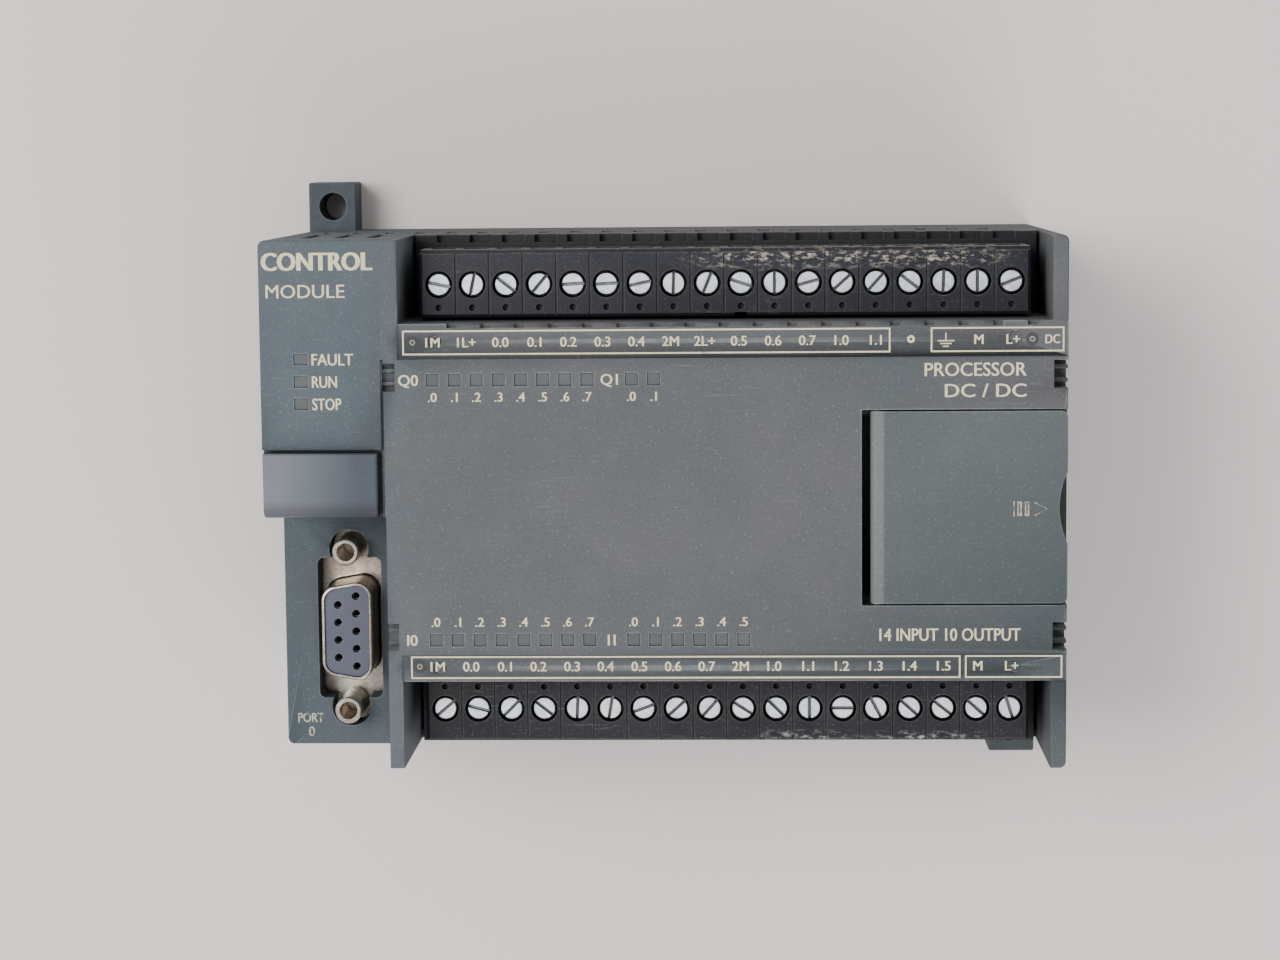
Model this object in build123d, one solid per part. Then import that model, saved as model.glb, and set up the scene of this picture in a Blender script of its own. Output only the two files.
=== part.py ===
"""Compact programmable controller: two-shell housing, three circuit boards, plug-off terminal blocks.

Millimetres. +X runs along the module, +Y towards its upper long side, +Z out of its front.
The origin is the middle of the back face, which rests on a wall, a rail or a table.
"""
from build123d import *
import math
import os

# ---- housing, driving sizes ----
body_width = 120.5
body_height = 80.0
body_depth = 62.0
seam_z = 20.0                # the back and front shells meet here
face_wall = 2.0              # front and back walls
end_wall = 2.0               # left and right walls
long_wall = 1.4              # upper and lower walls
corner_round = 1.0
edge_round = 0.4

# ---- mounting lugs and their holes ----
lug_width = 7.6
lug_reach = 8.0
lug_thickness = 8.7
lug_hole_radius = 2.3        # clearance for an M4 screw
lug_hole_inset = 4.0         # hole centre from the lug's outer side and from the housing

# ---- left column, port corner ----
bay_left_inset = 20.75       # left side of the terminal bays, from the housing's left side
bay_right_inset = 2.35       # thickness of the right cheek
column_width = 18.25         # column beside the panel, up to the groove
groove_width = 0.5
groove_depth = 0.8
port_step_height = 38.3      # from the lower side up to the step
port_face_z = 42.4
cheek_thickness = 2.2        # wall between the port corner and the lower bay
skirt_top_z = 30.5           # the front shell is divided here, see divide_front_housing
division_offset = 0.35       # other divisions lie this far from the nearest wall

# ---- terminal bays ----
upper_bay_height = 12.6
lower_bay_height = 13.3
bay_rim_z = 37.4             # top of the low outer wall of each bay, under the header's lip
bay_inner_wall = 2.0

# ---- terminal blocks ----
pole_pitch = 5.08
pole_end_clear = 2.2         # least gap from the last pole's cell to the bay's end
block_end_wall = 0.4
block_height = 10.2
block_gap = 0.5              # from the bay's inner wall
block_front_z = 54.5
block_seat_gap = 0.3         # between block and header when plugged in
block_chamfer = 0.5
block_step_z = 1.6           # the outer edge steps in this far below the front
block_step = 0.5
screw_inset = 5.0            # screw line from the block's inner side
screw_head_radius = 1.75
screw_hole_gap = 0.3          # round each screw head
screw_shank_radius = 1.2
screw_recess = 0.4
screw_head_height = 1.8
screw_slot_width = 0.5
screw_slot_depth = 0.9
test_hole_offset = 3.5       # small test-probe dimple, from the screw towards the panel
test_hole_radius = 0.5
key_width = 1.8               # coding notch in the block's inner side
key_depth = 0.6
key_height = 5.0
seam_groove_width = 0.2
seam_groove_depth = 0.15
clamp_width = 3.7
clamp_length = 4.6
clamp_height = 5.8
clamp_wall = 0.6
clamp_clearance = 0.1
clamp_base_z = 43.6
thread_clearance = 0.05
contact_size = 1.6
contact_clearance = 0.1
pin_size = 1.0

# ---- pin headers ----
header_end_gap = 0.5
header_side_gap = 0.3
header_top_z = 39.8
header_notch_width = 3.4
header_notch_depth = 1.3
header_notch_reach = 1.2
header_lip_root = 0.5         # the lip over the bay's rim starts this far inside the bar
pin_top_z = 49.0
pin_tail = 1.2               # pins pass this far below the board

# ---- circuit boards ----
board_thickness = 1.6
board_edge_gap = 0.4
power_board_z = 12.0
io_board_z = 31.4
cpu_board_z = 44.0
cpu_board_top_gap = 1.4       # from the walls of the terminal bays
cpu_board_low_gap = 2.7
post_radius = 2.8
post_pilot_radius = 1.1
board_screw_radius = 1.05
board_screw_head_radius = 2.2
board_screw_head_height = 1.4
board_screw_length = 8.0
spacer_radius = 2.2
spacer_inset_x = 5.0
spacer_inset_y = 2.5
post_inset_x = 7.0
low_post_y = -5.5            # the post beside the port connector stands further in

# ---- label strips and panel edges ----
strip_sink = 0.4             # the strips lie this far below the panel
upper_strip_height = 5.3
lower_strip_height = 4.1
strip_notch_width = 1.5
strip_notch_depth = 0.7
hinge_socket_width = 2.0
hinge_socket_height = 4.2
hinge_socket_depth = 4.0
hinge_socket_left_depth = 1.6 # the left two stop on a web
hinge_rib_drop = 1.2          # ribs in the sockets, below the front
hinge_rib = 0.5
strip_pin_radius = 1.0       # round witness marks at the strips' ends
strip_pin_depth = 0.25

# ---- indicator windows ----
lamp_window = 1.9
lamp_pitch = 3.31
lamp_clearance = 0.05
lamp_sink = 0.2
upper_lamp_drop = 3.1        # from the panel's upper edge
lower_lamp_rise = 2.3        # from the panel's lower edge
lamp_first_inset = 25.85     # first lamp, from the housing's left side
lamp_bank = 8
output_second_bank = 2
input_second_bank = 6
lamp_bank_gap = 2            # second bank starts this many pitches later than the next lamp would
status_window_width = 2.1
status_window_height = 1.7
status_pitch = 3.35
status_count = 3
status_inset_x = 6.15
status_inset_y = 17.8
led_size = 1.4
led_height = 1.6
led_gap = 0.3

# ---- access door ----
door_width = 30.6            # from the housing's right side
door_height = 29.4
door_centre_y = -0.5
door_thickness = 2.0
door_side_gap = 0.25
door_barrel_radius = 1.0
door_barrel_gap = 1.3
door_trunnion_radius = 0.5
door_trunnion_length = 0.9
trunnion_clearance = 0.06
trunnion_end_gap = 0.2
door_rest_gap = 0.1
door_notch_height = 10.8     # hollow for a fingertip, an arc in plan
door_notch_depth = 1.2
pocket_wall = 1.6
pocket_ledge = 1.0
pocket_floor_z = 48.0
pocket_floor = 1.8

# ---- cartridge cover and its well ----
cover_width = 17.3
cover_height = 9.8
cover_rise = 0.6             # crown above the front face
cover_left_gap = 0.15
cover_top_gap = 0.5
cover_right_gap = 0.6
cover_lip_round = 1.4
cover_prong = 1.0
cover_prong_height = 4.6
cover_prong_depth = 6.0
well_bottom_z = 46.0
well_left_inset = 2.25
well_width = 13.6
well_lower_wall = 2.0
well_height = 6.7
well_upper_wall = 1.5         # beyond the cover's upper side
well_skin = 1.0               # wall of the column that covers the well's lower side

# ---- nine-way port connector ----
port_centre_inset_x = 10.17  # from the housing's left side
port_centre_inset_y = 18.53  # from the housing's lower side
port_plate = 5.5             # plate and the walls of its opening, down to the connector's flange
port_hole_side_gap = 1.05     # from the port's shell to the sides of its opening
port_hole_end_gap = 2.985
port_lobe_gap = 1.0           # round each jack
port_screw_pitch = 25.0
flange_length = 30.8
flange_width = 12.4
flange_thickness = 0.9
shell_length = 16.33
shell_width = 7.9
shell_rise = 9.4
shell_skin = 0.45
shell_corner = 2.4
shell_slant = 10.0
shell_lip_round = 0.3
insulator_sink = 0.35
insulator_clearance = 0.05
insulator_body_length = 19.0
insulator_body_width = 10.6
contact_pitch = 2.77
contact_row_gap = 2.84
contact_hole_radius = 0.62
contact_tube_radius = 0.8
contact_bore_radius = 0.5
contact_depth = 1.0
contact_tail_radius = 0.35
jack_radius = 2.1
jack_bore_radius = 1.4
jack_bore_length = 8.0
jack_shank_radius = 1.75
jack_shank_length = 3.6
jack_rise = 9.4

# ---- rail channel and clip ----
rail_channel = 35.4          # takes a 35 mm top-hat rail
rail_depth = 6.0
rail_hook_reach = 1.2
rail_hook_low_z = 2.6
rail_hook_high_z = 4.7
rail_hook_length = 12.0
rail_hook_spacing = 60.0
clip_width = 18.0
clip_web_width = 13.6
clip_base_z = 0.3
clip_flange_z = 1.5
clip_top_z = 4.4
clip_gap = 0.2
clip_nose_reach = 1.3
clip_tab_reach = 3.0
clip_slot_length = 6.0
clip_slot_width = 1.6
clip_guide_wall = 2.0

# ---- vents and snap hooks ----
vent_pitch = 5.0
vent_width = 2.0
vent_low_z = 22.0
vent_high_z = 30.0
column_vent_low_z = 33.0
column_vent_high_z = 52.0
vent_first_inset = 5.5
hook_width = 3.2
hook_thickness = 1.2
hook_drop = 8.0
hook_nib = 0.8
hook_gap = 0.1
hook_window_rise = 1.0        # window's lower side, above the hook's tip
hook_window_height = 2.2
hook_nib_height = 1.9
hook_slots = (3, 19)         # hooks sit after these vents

# ---- parts behind the door ----
switch_inset_x = 22.75       # from the housing's right side
switch_y = 6.0
switch_width = 5.0
switch_length = 11.0
switch_top_z = 51.0
switch_wall = 0.8
lever_width = 1.6
lever_length = 2.2
lever_top_z = 53.4
lever_travel = 2.0
lever_foot = 3.0
lever_foot_height = 1.2
lever_gap = 0.15
pot_size = 4.6
pot_height = 2.1
pot_rotor_radius = 1.6
pot_rotor_gap = 0.15
pot_rotor_height = 2.2
pot_window_radius = 2.0
pot_ys = (-4.0, -9.4)
pot_slot_width = 0.5
pot_slot_depth = 0.6
expansion_inset_x = 8.85
expansion_width = 8.8
expansion_length = 20.3
expansion_height = 8.0
expansion_wall = 1.1
expansion_floor = 1.5
expansion_pitch = 2.54
expansion_pin = 0.64
expansion_pin_rise = 6.6
expansion_pairs = 5
cutout_gap = 0.2

# ---- cartridge socket ----
socket_width = 11.2
socket_height = 4.6
socket_rise = 4.8
socket_slot_width = 8.6
socket_slot_height = 1.5
socket_slot_depth = 3.6
socket_contact_count = 6
socket_contact_pitch = 1.3

# ---- derived places ----
left = -body_width / 2
right = body_width / 2
top = body_height / 2
bottom = -body_height / 2
front = body_depth
bay_left = left + bay_left_inset
bay_right = right - bay_right_inset
bay_width = bay_right - bay_left
bay_centre = (bay_left + bay_right) / 2
upper_bay_inner = top - upper_bay_height
lower_bay_inner = bottom + lower_bay_height
inner_top = top - long_wall
inner_bottom = bottom + long_wall
inner_left = left + end_wall
inner_right = right - end_wall
groove_x = left + column_width
step_y = bottom + port_step_height
io_top = io_board_z + board_thickness
cpu_top = cpu_board_z + board_thickness
power_top = power_board_z + board_thickness
pole_count = int((bay_width - 2 * pole_end_clear) / pole_pitch)
pole_xs = [bay_centre + (i - (pole_count - 1) / 2) * pole_pitch for i in range(pole_count)]
block_width = pole_count * pole_pitch + 2 * block_end_wall
block_left = bay_centre - block_width / 2
block_right = bay_centre + block_width / 2
block_base_z = header_top_z + block_seat_gap
cpu_left = left + end_wall + 0.8
port_x = left + port_centre_inset_x
port_y = bottom + port_centre_inset_y
flange_top_z = port_face_z - port_plate
panel_top = upper_bay_inner - upper_strip_height
panel_bottom = lower_bay_inner + lower_strip_height
upper_lamp_y = panel_top - upper_lamp_drop
lower_lamp_y = panel_bottom + lower_lamp_rise
lamp_first_x = left + lamp_first_inset
door_left = right - door_width
door_low = door_centre_y - door_height / 2
door_high = door_centre_y + door_height / 2
door_axis_x = door_left + door_barrel_gap + door_barrel_radius
door_axis_z = front - door_barrel_radius
door_seat_z = front - door_thickness
cover_left = left + cover_left_gap
cover_right = cover_left + cover_width
cover_bottom = step_y
cover_top = step_y + cover_height
well_left = left + well_left_inset
well_right = well_left + well_width
well_bottom = step_y + well_lower_wall
well_top = well_bottom + well_height
status_x = left + status_inset_x
status_ys = [top - status_inset_y - i * status_pitch for i in range(status_count)]
switch_x = right - switch_inset_x
expansion_x = right - expansion_inset_x
socket_x = (well_left + well_right) / 2
socket_y = (well_bottom + well_top) / 2
post_xs = (left + post_inset_x, right - post_inset_x)
corner_post_y = inner_top - post_radius - 1
tall_post_high_y = upper_bay_inner - bay_inner_wall - post_radius
tall_post_low_y = lower_bay_inner + bay_inner_wall + post_radius
tall_posts = [(post_xs[0], tall_post_high_y), (post_xs[1], tall_post_high_y),
              (post_xs[1], tall_post_low_y), (post_xs[0], low_post_y)]
cpu_low = lower_bay_inner + bay_inner_wall + cpu_board_low_gap
cpu_high = upper_bay_inner - bay_inner_wall - cpu_board_top_gap
cover_seat_z = front - face_wall
screw_hole_radius = screw_head_radius + screw_hole_gap
port_hole_width = shell_width + 2 * port_hole_side_gap
port_hole_height = shell_length + 2 * port_hole_end_gap
port_lobe_radius = jack_radius + port_lobe_gap
well_block_top = cover_top + cover_top_gap + well_upper_wall


def slab(x0, x1, y0, y1, z0, z1):
    """Box given by its two corners."""
    centre = Pos((x0 + x1) / 2, (y0 + y1) / 2, (z0 + z1) / 2)
    return centre * Box(x1 - x0, y1 - y0, z1 - z0)


def post(x, y, z0, z1, radius):
    """Upright cylinder between two heights."""
    return Pos(x, y, (z0 + z1) / 2) * Cylinder(radius, z1 - z0)


def square_post(x, y, size, z0, z1):
    """Upright square bar between two heights."""
    return slab(x - size / 2, x + size / 2, y - size / 2, y + size / 2, z0, z1)


def group(solids):
    """Separate solids kept together in one node."""
    return Compound(children=list(solids))


def vent_xs(end_x):
    """Centre lines of the vents, from the left side of the housing up to end_x."""
    first = left + vent_first_inset
    count = int((end_x - first) / vent_pitch) + 1
    return [first + i * vent_pitch for i in range(count)]


def hook_xs():
    """Snap hooks stand half way between two vents."""
    return [left + vent_first_inset + (i + 0.5) * vent_pitch for i in hook_slots]


def lamp_xs(second_bank):
    """Centres of a lamp row: a bank of eight, a gap, and a shorter bank."""
    first = [lamp_first_x + i * lamp_pitch for i in range(lamp_bank)]
    start = first[-1] + lamp_bank_gap * lamp_pitch
    return first + [start + i * lamp_pitch for i in range(second_bank)]


def door_plan_cut(z0, z1, gap=0.0):
    """Space that the door takes in the front face, out past the right side."""
    return slab(door_left - gap, right + 1, door_low - gap, door_high + gap, z0, z1)


# ---- back shell ----
def rear_lug(sign):
    """Lug at the upper left (sign 1) or lower right (sign -1), with its screw hole."""
    outer_x = left if sign > 0 else right
    inner_x = outer_x + sign * lug_width
    y0 = sign * (top - edge_round)
    y1 = sign * (top + lug_reach)
    block = slab(min(outer_x, inner_x), max(outer_x, inner_x), min(y0, y1), max(y0, y1), 0, lug_thickness)
    block = fillet(block.edges().filter_by(Axis.Z), edge_round)
    hole = post(outer_x + sign * lug_hole_inset, sign * (top + lug_hole_inset), -1, lug_thickness + 1, lug_hole_radius)
    return block - hole


def clip_guide():
    """Block under the rail channel that holds the sliding rail clip, before its slot is cut."""
    half = clip_width / 2 + clip_guide_wall
    return slab(-half, half, inner_bottom - long_wall / 2, -rail_channel / 2, 0, clip_top_z + clip_gap + clip_guide_wall)


def clip_slot():
    """T-slot in which the rail clip slides, open at the lower side and into the channel."""
    wide = clip_width / 2 + clip_gap
    narrow = clip_web_width / 2 + clip_gap
    y0 = bottom - 1
    y1 = -rail_channel / 2 + 0.1
    slot = slab(-wide, wide, y0, y1, clip_flange_z - clip_gap, clip_top_z + clip_gap)
    return slot + slab(-narrow, narrow, y0, y1, -1, clip_flange_z)


def make_rear_housing():
    outer = slab(left, right, bottom, top, 0, seam_z)
    outer = fillet(outer.edges().filter_by(Axis.Z), corner_round)
    shell = outer - slab(inner_left, inner_right, inner_bottom, inner_top, face_wall, seam_z + 1)
    ridge_half = rail_channel / 2 + face_wall
    shell += slab(inner_left - 0.5, inner_right + 0.5, -ridge_half, ridge_half, 0, rail_depth + face_wall)
    shell += clip_guide()
    shell += rear_lug(1)
    shell += rear_lug(-1)
    shell -= slab(left - 1, right + 1, -rail_channel / 2, rail_channel / 2, -1, rail_depth)
    shell -= clip_slot()
    hook_y = rail_channel / 2
    for sign in (-1, 1):
        x = sign * rail_hook_spacing / 2
        x0 = x - rail_hook_length / 2
        x1 = x + rail_hook_length / 2
        shell += slab(x0, x1, hook_y - rail_hook_reach, hook_y + 0.5, rail_hook_low_z, rail_hook_high_z)
    for x in post_xs:
        for y in (-corner_post_y, corner_post_y):
            shell += post(x, y, face_wall - 0.5, power_board_z, post_radius)
    for x, y in tall_posts:
        foot_z = rail_depth + face_wall if abs(y) < ridge_half else face_wall
        shell += post(x, y, foot_z - 0.5, io_board_z, post_radius)
        shell -= post(x, y, io_board_z - board_screw_length, io_board_z + 1, post_pilot_radius)
    windows = []
    for x in hook_xs():
        for sign in (-1, 1):
            half = hook_width / 2 + hook_gap
            y0 = sign * (inner_top - 0.5)
            y1 = sign * (top + 1)
            z0 = seam_z - hook_drop + hook_window_rise
            windows.append(slab(x - half, x + half, min(y0, y1), max(y0, y1), z0, z0 + hook_window_height))
    return shell - windows


# ---- front shell ----
def front_cavities():
    """Hollow of the front shell: boards below, panel and column above, port corner."""
    low = slab(inner_left, inner_right, inner_bottom, inner_top, seam_z - 1, io_top)
    panel = slab(bay_left, bay_right, lower_bay_inner + bay_inner_wall, upper_bay_inner - bay_inner_wall,
                 io_top - 1, front - face_wall)
    column = slab(inner_left, bay_left - end_wall, well_bottom - 0.2, inner_top, io_top - 1, front - face_wall)
    link_top = front - face_wall - groove_depth
    link = slab(groove_x - 0.5, bay_left + 1, well_bottom - 0.2, upper_bay_inner - bay_inner_wall,
                io_top - 1, link_top)
    port = slab(inner_left, bay_left - cheek_thickness - end_wall, inner_bottom, well_bottom,
                io_top - 1, flange_top_z)
    port_link = slab(groove_x - cheek_thickness, bay_left + 1, lower_bay_inner + bay_inner_wall, well_bottom,
                     io_top - 1, flange_top_z)
    return [low, panel, column, link, port, port_link]


def door_pocket_body():
    """Walls and floor of the pocket behind the door, before they are hollowed."""
    return slab(door_left - pocket_wall, bay_right, door_low - pocket_wall, door_high + pocket_wall,
                pocket_floor_z, door_seat_z + 0.5)


def door_pocket_hollow():
    """Space behind the door: parts of the upper board reach into it."""
    return slab(door_left, bay_right - pocket_ledge, door_low + pocket_ledge, door_high - pocket_ledge,
                pocket_floor_z + pocket_floor, front + 1)


def pocket_floor_cuts():
    """Openings in the pocket's floor for the mode switch, the two trimmers and the bus connector."""
    z0 = pocket_floor_z - 1
    z1 = pocket_floor_z + pocket_floor + 1
    half_w = switch_width / 2 + cutout_gap
    half_l = switch_length / 2 + cutout_gap
    cuts = [slab(switch_x - half_w, switch_x + half_w, switch_y - half_l, switch_y + half_l, z0, z1)]
    for y in pot_ys:
        cuts.append(post(switch_x, y, z0, z1, pot_window_radius))
    half_w = expansion_width / 2 + cutout_gap
    half_l = expansion_length / 2 + cutout_gap
    cuts.append(slab(expansion_x - half_w, expansion_x + half_w, door_centre_y - half_l, door_centre_y + half_l,
                     z0, z1))
    return cuts


def lamp_cuts():
    """Square windows for the indicator lamps."""
    half = lamp_window / 2
    cuts = []
    for y, second_bank in ((upper_lamp_y, output_second_bank), (lower_lamp_y, input_second_bank)):
        for x in lamp_xs(second_bank):
            cuts.append(slab(x - half, x + half, y - half, y + half, front - face_wall - 1, front + 1))
    half_w = status_window_width / 2
    half_h = status_window_height / 2
    for y in status_ys:
        cuts.append(slab(status_x - half_w, status_x + half_w, y - half_h, y + half_h,
                         front - face_wall - 1, front + 1))
    return cuts


def strip_cuts():
    """Sunken label strips above and below the panel, with notches along the upper bay."""
    z0 = front - strip_sink
    cuts = [slab(bay_left - 0.1, right + 1, panel_top, upper_bay_inner + 0.1, z0, front + 1)]
    cuts.append(slab(bay_left - 0.1, right + 1, lower_bay_inner - 0.1, panel_bottom, z0, front + 1))
    notch_z = front - strip_sink - strip_notch_depth
    for x in pole_xs:
        x_mid = x + pole_pitch / 2
        cuts.append(slab(x_mid - strip_notch_width / 2, x_mid + strip_notch_width / 2,
                         upper_bay_inner - strip_notch_depth, upper_bay_inner + 1, notch_z, front + 1))
    pin_z = front - strip_sink - strip_pin_depth
    strip_middles = ((panel_top + upper_bay_inner) / 2, (panel_bottom + lower_bay_inner) / 2)
    for y in strip_middles:
        for x in (pole_xs[0], pole_xs[-1]):
            ring = post(x, y, pin_z, front, strip_pin_radius)
            cuts.append(ring - post(x, y, pin_z - 1, front + 1, strip_pin_radius / 2))
    return cuts


def hinge_socket_cuts():
    """Empty sockets at the panel's four corners, where the terminal covers would hinge."""
    cuts = []
    for x0, x1, depth in ((groove_x, groove_x + hinge_socket_width, hinge_socket_left_depth),
                          (bay_right + 0.2, right + 1, hinge_socket_depth)):
        z0 = front - depth
        for y in (panel_top - hinge_socket_height / 2 - 0.6, panel_bottom + hinge_socket_height / 2 + 0.6):
            y0 = y - hinge_socket_height / 2
            y1 = y + hinge_socket_height / 2
            pocket = slab(x0, x1, y0, y1, z0, front + 1)
            rib_ys = [y + d - hinge_rib / 2 for d in (-1, 1)]
            ribs = [slab(x0, x1, rib_y, rib_y + hinge_rib, z0, front - hinge_rib_drop) for rib_y in rib_ys]
            cuts.append(pocket - ribs)
    return cuts


def port_cuts():
    """Opening in the port corner: a rectangle with a round lobe for each jack screw."""
    z0 = flange_top_z - 1
    z1 = port_face_z + 1
    hole = slab(port_x - port_hole_width / 2, port_x + port_hole_width / 2,
                port_y - port_hole_height / 2, port_y + port_hole_height / 2, z0, z1)
    hole = fillet(hole.edges().filter_by(Axis.Z), corner_round)
    lobes = [post(port_x, port_y + s * port_screw_pitch / 2, z0, z1, port_lobe_radius) for s in (-1, 1)]
    return [hole] + lobes


def vent_cuts():
    """Narrow vents in the upper and lower sides, a second short row above the column."""
    cuts = []
    half = vent_width / 2
    for x in vent_xs(right - vent_first_inset):
        for y0, y1 in ((inner_top - 0.2, top + 1), (bottom - 1, inner_bottom + 0.2)):
            cuts.append(slab(x - half, x + half, y0, y1, vent_low_z, vent_high_z))
    for x in vent_xs(bay_left - end_wall - vent_width):
        cuts.append(slab(x - half, x + half, inner_top - 0.2, top + 1, column_vent_low_z, column_vent_high_z))
    return cuts


def snap_hooks():
    """Tongues on the front shell that snap into windows in the back shell."""
    hooks = []
    for x in hook_xs():
        for sign in (-1, 1):
            face = inner_top - hook_gap
            y0 = sign * (face - hook_thickness)
            y1 = sign * face
            tongue = slab(x - hook_width / 2, x + hook_width / 2, min(y0, y1), max(y0, y1),
                          seam_z - hook_drop, vent_low_z)
            root_y = sign * (inner_top + 0.1)
            root = slab(x - hook_width / 2, x + hook_width / 2, min(y0, root_y), max(y0, root_y),
                        seam_z + 0.2, vent_low_z)
            nib_y = sign * (face + hook_nib)
            z0 = seam_z - hook_drop + hook_window_rise + hook_gap
            nib = slab(x - hook_width / 2, x + hook_width / 2, min(y0, nib_y), max(y0, nib_y), z0,
                       z0 + hook_nib_height)
            hooks += [tongue, root, nib]
    return hooks


def make_front_housing():
    outer = slab(left, right, bottom, top, seam_z, front)
    outer = fillet(outer.edges().filter_by(Axis.Z), corner_round)
    outer -= slab(left - 1, bay_left - cheek_thickness, bottom - 1, step_y, port_face_z, front + 1)
    outer -= slab(bay_left, bay_right, upper_bay_inner, top + 1, bay_rim_z, front + 1)
    outer -= slab(bay_left, bay_right, bottom - 1, lower_bay_inner, bay_rim_z, front + 1)
    rim = outer.faces().filter_by(Axis.Z).sort_by(Axis.Z)[-1]
    outer = fillet(rim.edges(), edge_round)
    bays = [slab(bay_left, bay_right, upper_bay_inner, inner_top, io_top, bay_rim_z + 1)]
    bays.append(slab(bay_left, bay_right, inner_bottom, lower_bay_inner, io_top, bay_rim_z + 1))
    shell = outer - bays
    shell = shell - front_cavities()
    shell += door_pocket_body()
    shell += slab(left + corner_round, groove_x, step_y, well_block_top, well_bottom_z, cover_seat_z)
    shell -= door_pocket_hollow()
    shell -= slab(well_left, well_right, well_bottom, well_top, well_bottom_z - 1, front + 1)
    shell -= door_plan_cut(door_seat_z, front + 1)
    shell -= slab(left - 1, cover_right + cover_right_gap, step_y - 1, cover_top + cover_top_gap,
                  cover_seat_z, front + 1)
    shell -= slab(door_left, door_axis_x + door_barrel_radius + door_barrel_gap, door_low, door_high,
                  door_seat_z - door_barrel_gap, front + 1)
    trunnion_hole = Rot(90, 0, 0) * Cylinder(door_trunnion_radius + trunnion_clearance,
                                             door_height + 2 * (door_trunnion_length + trunnion_end_gap))
    shell -= Pos(door_axis_x, door_centre_y, door_axis_z) * trunnion_hole
    shell -= slab(groove_x - groove_width / 2, groove_x + groove_width / 2, step_y - 1, panel_top,
                  front - groove_depth, front + 1)
    shell = shell - pocket_floor_cuts()
    shell = shell - lamp_cuts()
    shell = shell - strip_cuts()
    shell = shell - hinge_socket_cuts()
    shell = shell - port_cuts()
    shell = shell - vent_cuts()
    return shell + snap_hooks()


# The front shell is one moulding. It is exported as plain parts that meet face to face, because
# each then keeps its hollow open when its collision is made.
def divide_front_housing(shell):
    far = body_width
    pocket_box = slab(door_left - pocket_wall, bay_right, door_low - pocket_wall, door_high + pocket_wall,
                      pocket_floor_z, door_seat_z)
    well_box = slab(inner_left, groove_x, step_y + well_skin, well_block_top, well_bottom_z, cover_seat_z)
    skirt_box = slab(-far, far, -far, far, 0, skirt_top_z)
    corner_box = slab(-far, groove_x, -far, step_y - division_offset, skirt_top_z, port_face_z + 1)
    column_box = slab(-far, groove_x, step_y - division_offset, far, skirt_top_z, far)
    upper_y = upper_bay_inner - bay_inner_wall - division_offset
    lower_y = lower_bay_inner + bay_inner_wall + division_offset
    upper_box = slab(groove_x, far, upper_y, far, skirt_top_z, far)
    lower_box = slab(groove_x, far, -far, lower_y, skirt_top_z, far)
    panel_box = slab(groove_x, far, lower_y, upper_y, skirt_top_z, far)
    plain = shell - [pocket_box, well_box]
    return {
        "door_pocket": shell & pocket_box,
        "cartridge_well": shell & well_box,
        "front_skirt": plain & skirt_box,
        "port_corner": plain & corner_box,
        "column_shell": plain & column_box,
        "upper_bay": plain & upper_box,
        "lower_bay": plain & lower_box,
        "front_panel": plain & panel_box,
    }


# ---- access door ----
def make_access_door():
    plate = slab(door_axis_x, right, door_low + door_side_gap, door_high - door_side_gap,
                 door_seat_z + door_rest_gap, front)
    edges = plate.edges().filter_by(Axis.Z).sort_by(Axis.X)[-2:]
    plate = fillet(edges, corner_round)
    notch_radius = (door_notch_height ** 2 / 4 + door_notch_depth ** 2) / (2 * door_notch_depth)
    notch_x = right - door_notch_depth + notch_radius
    plate -= post(notch_x, door_centre_y, door_seat_z - 1, front + 1, notch_radius)
    length = door_height - 2 * door_side_gap
    barrel = Pos(door_axis_x, door_centre_y, door_axis_z) * (Rot(90, 0, 0) * Cylinder(door_barrel_radius, length))
    trunnion_span = length + 2 * door_trunnion_length
    trunnion = Rot(90, 0, 0) * Cylinder(door_trunnion_radius, trunnion_span)
    return plate + barrel + Pos(door_axis_x, door_centre_y, door_axis_z) * trunnion


# ---- cartridge cover ----
def make_cartridge_cover():
    z0 = cover_seat_z
    z1 = front + cover_rise
    plate = slab(cover_left, cover_right, cover_bottom, cover_top, z0, z1)
    lower = plate.edges().filter_by(Axis.X).group_by(Axis.Z)[-1].sort_by(Axis.Y)[0]
    plate = fillet(lower, cover_lip_round)
    soft = plate.edges().group_by(Axis.Z)[-1]
    plate = fillet(soft, edge_round)
    prong_y = (well_bottom + well_top) / 2
    for x in (well_left + 0.25, well_right - 0.25 - cover_prong):
        plate += slab(x, x + cover_prong, prong_y - cover_prong_height / 2, prong_y + cover_prong_height / 2,
                      z0 - cover_prong_depth, z0 + 0.5)
    return plate


# ---- terminal blocks: side 1 is the upper one, side -1 the lower one ----
def block_inner(side):
    """Y of the block's side next to the panel."""
    return upper_bay_inner + block_gap if side > 0 else lower_bay_inner - block_gap


def across(side, near, far):
    """Low and high Y of a stretch, measured outwards from the block's inner side."""
    a = block_inner(side) + side * near
    b = block_inner(side) + side * far
    return min(a, b), max(a, b)


def screw_y(side):
    return block_inner(side) + side * screw_inset


def clamp_far():
    """Outer side of the clamps, from the block's inner side."""
    return screw_inset + clamp_length / 2 - 0.3


def clamp_near():
    return clamp_far() - clamp_length


def pin_y(side):
    """Line of the pins and of the sockets that grip them."""
    return block_inner(side) + side * (clamp_near() - contact_size / 2)


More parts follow.
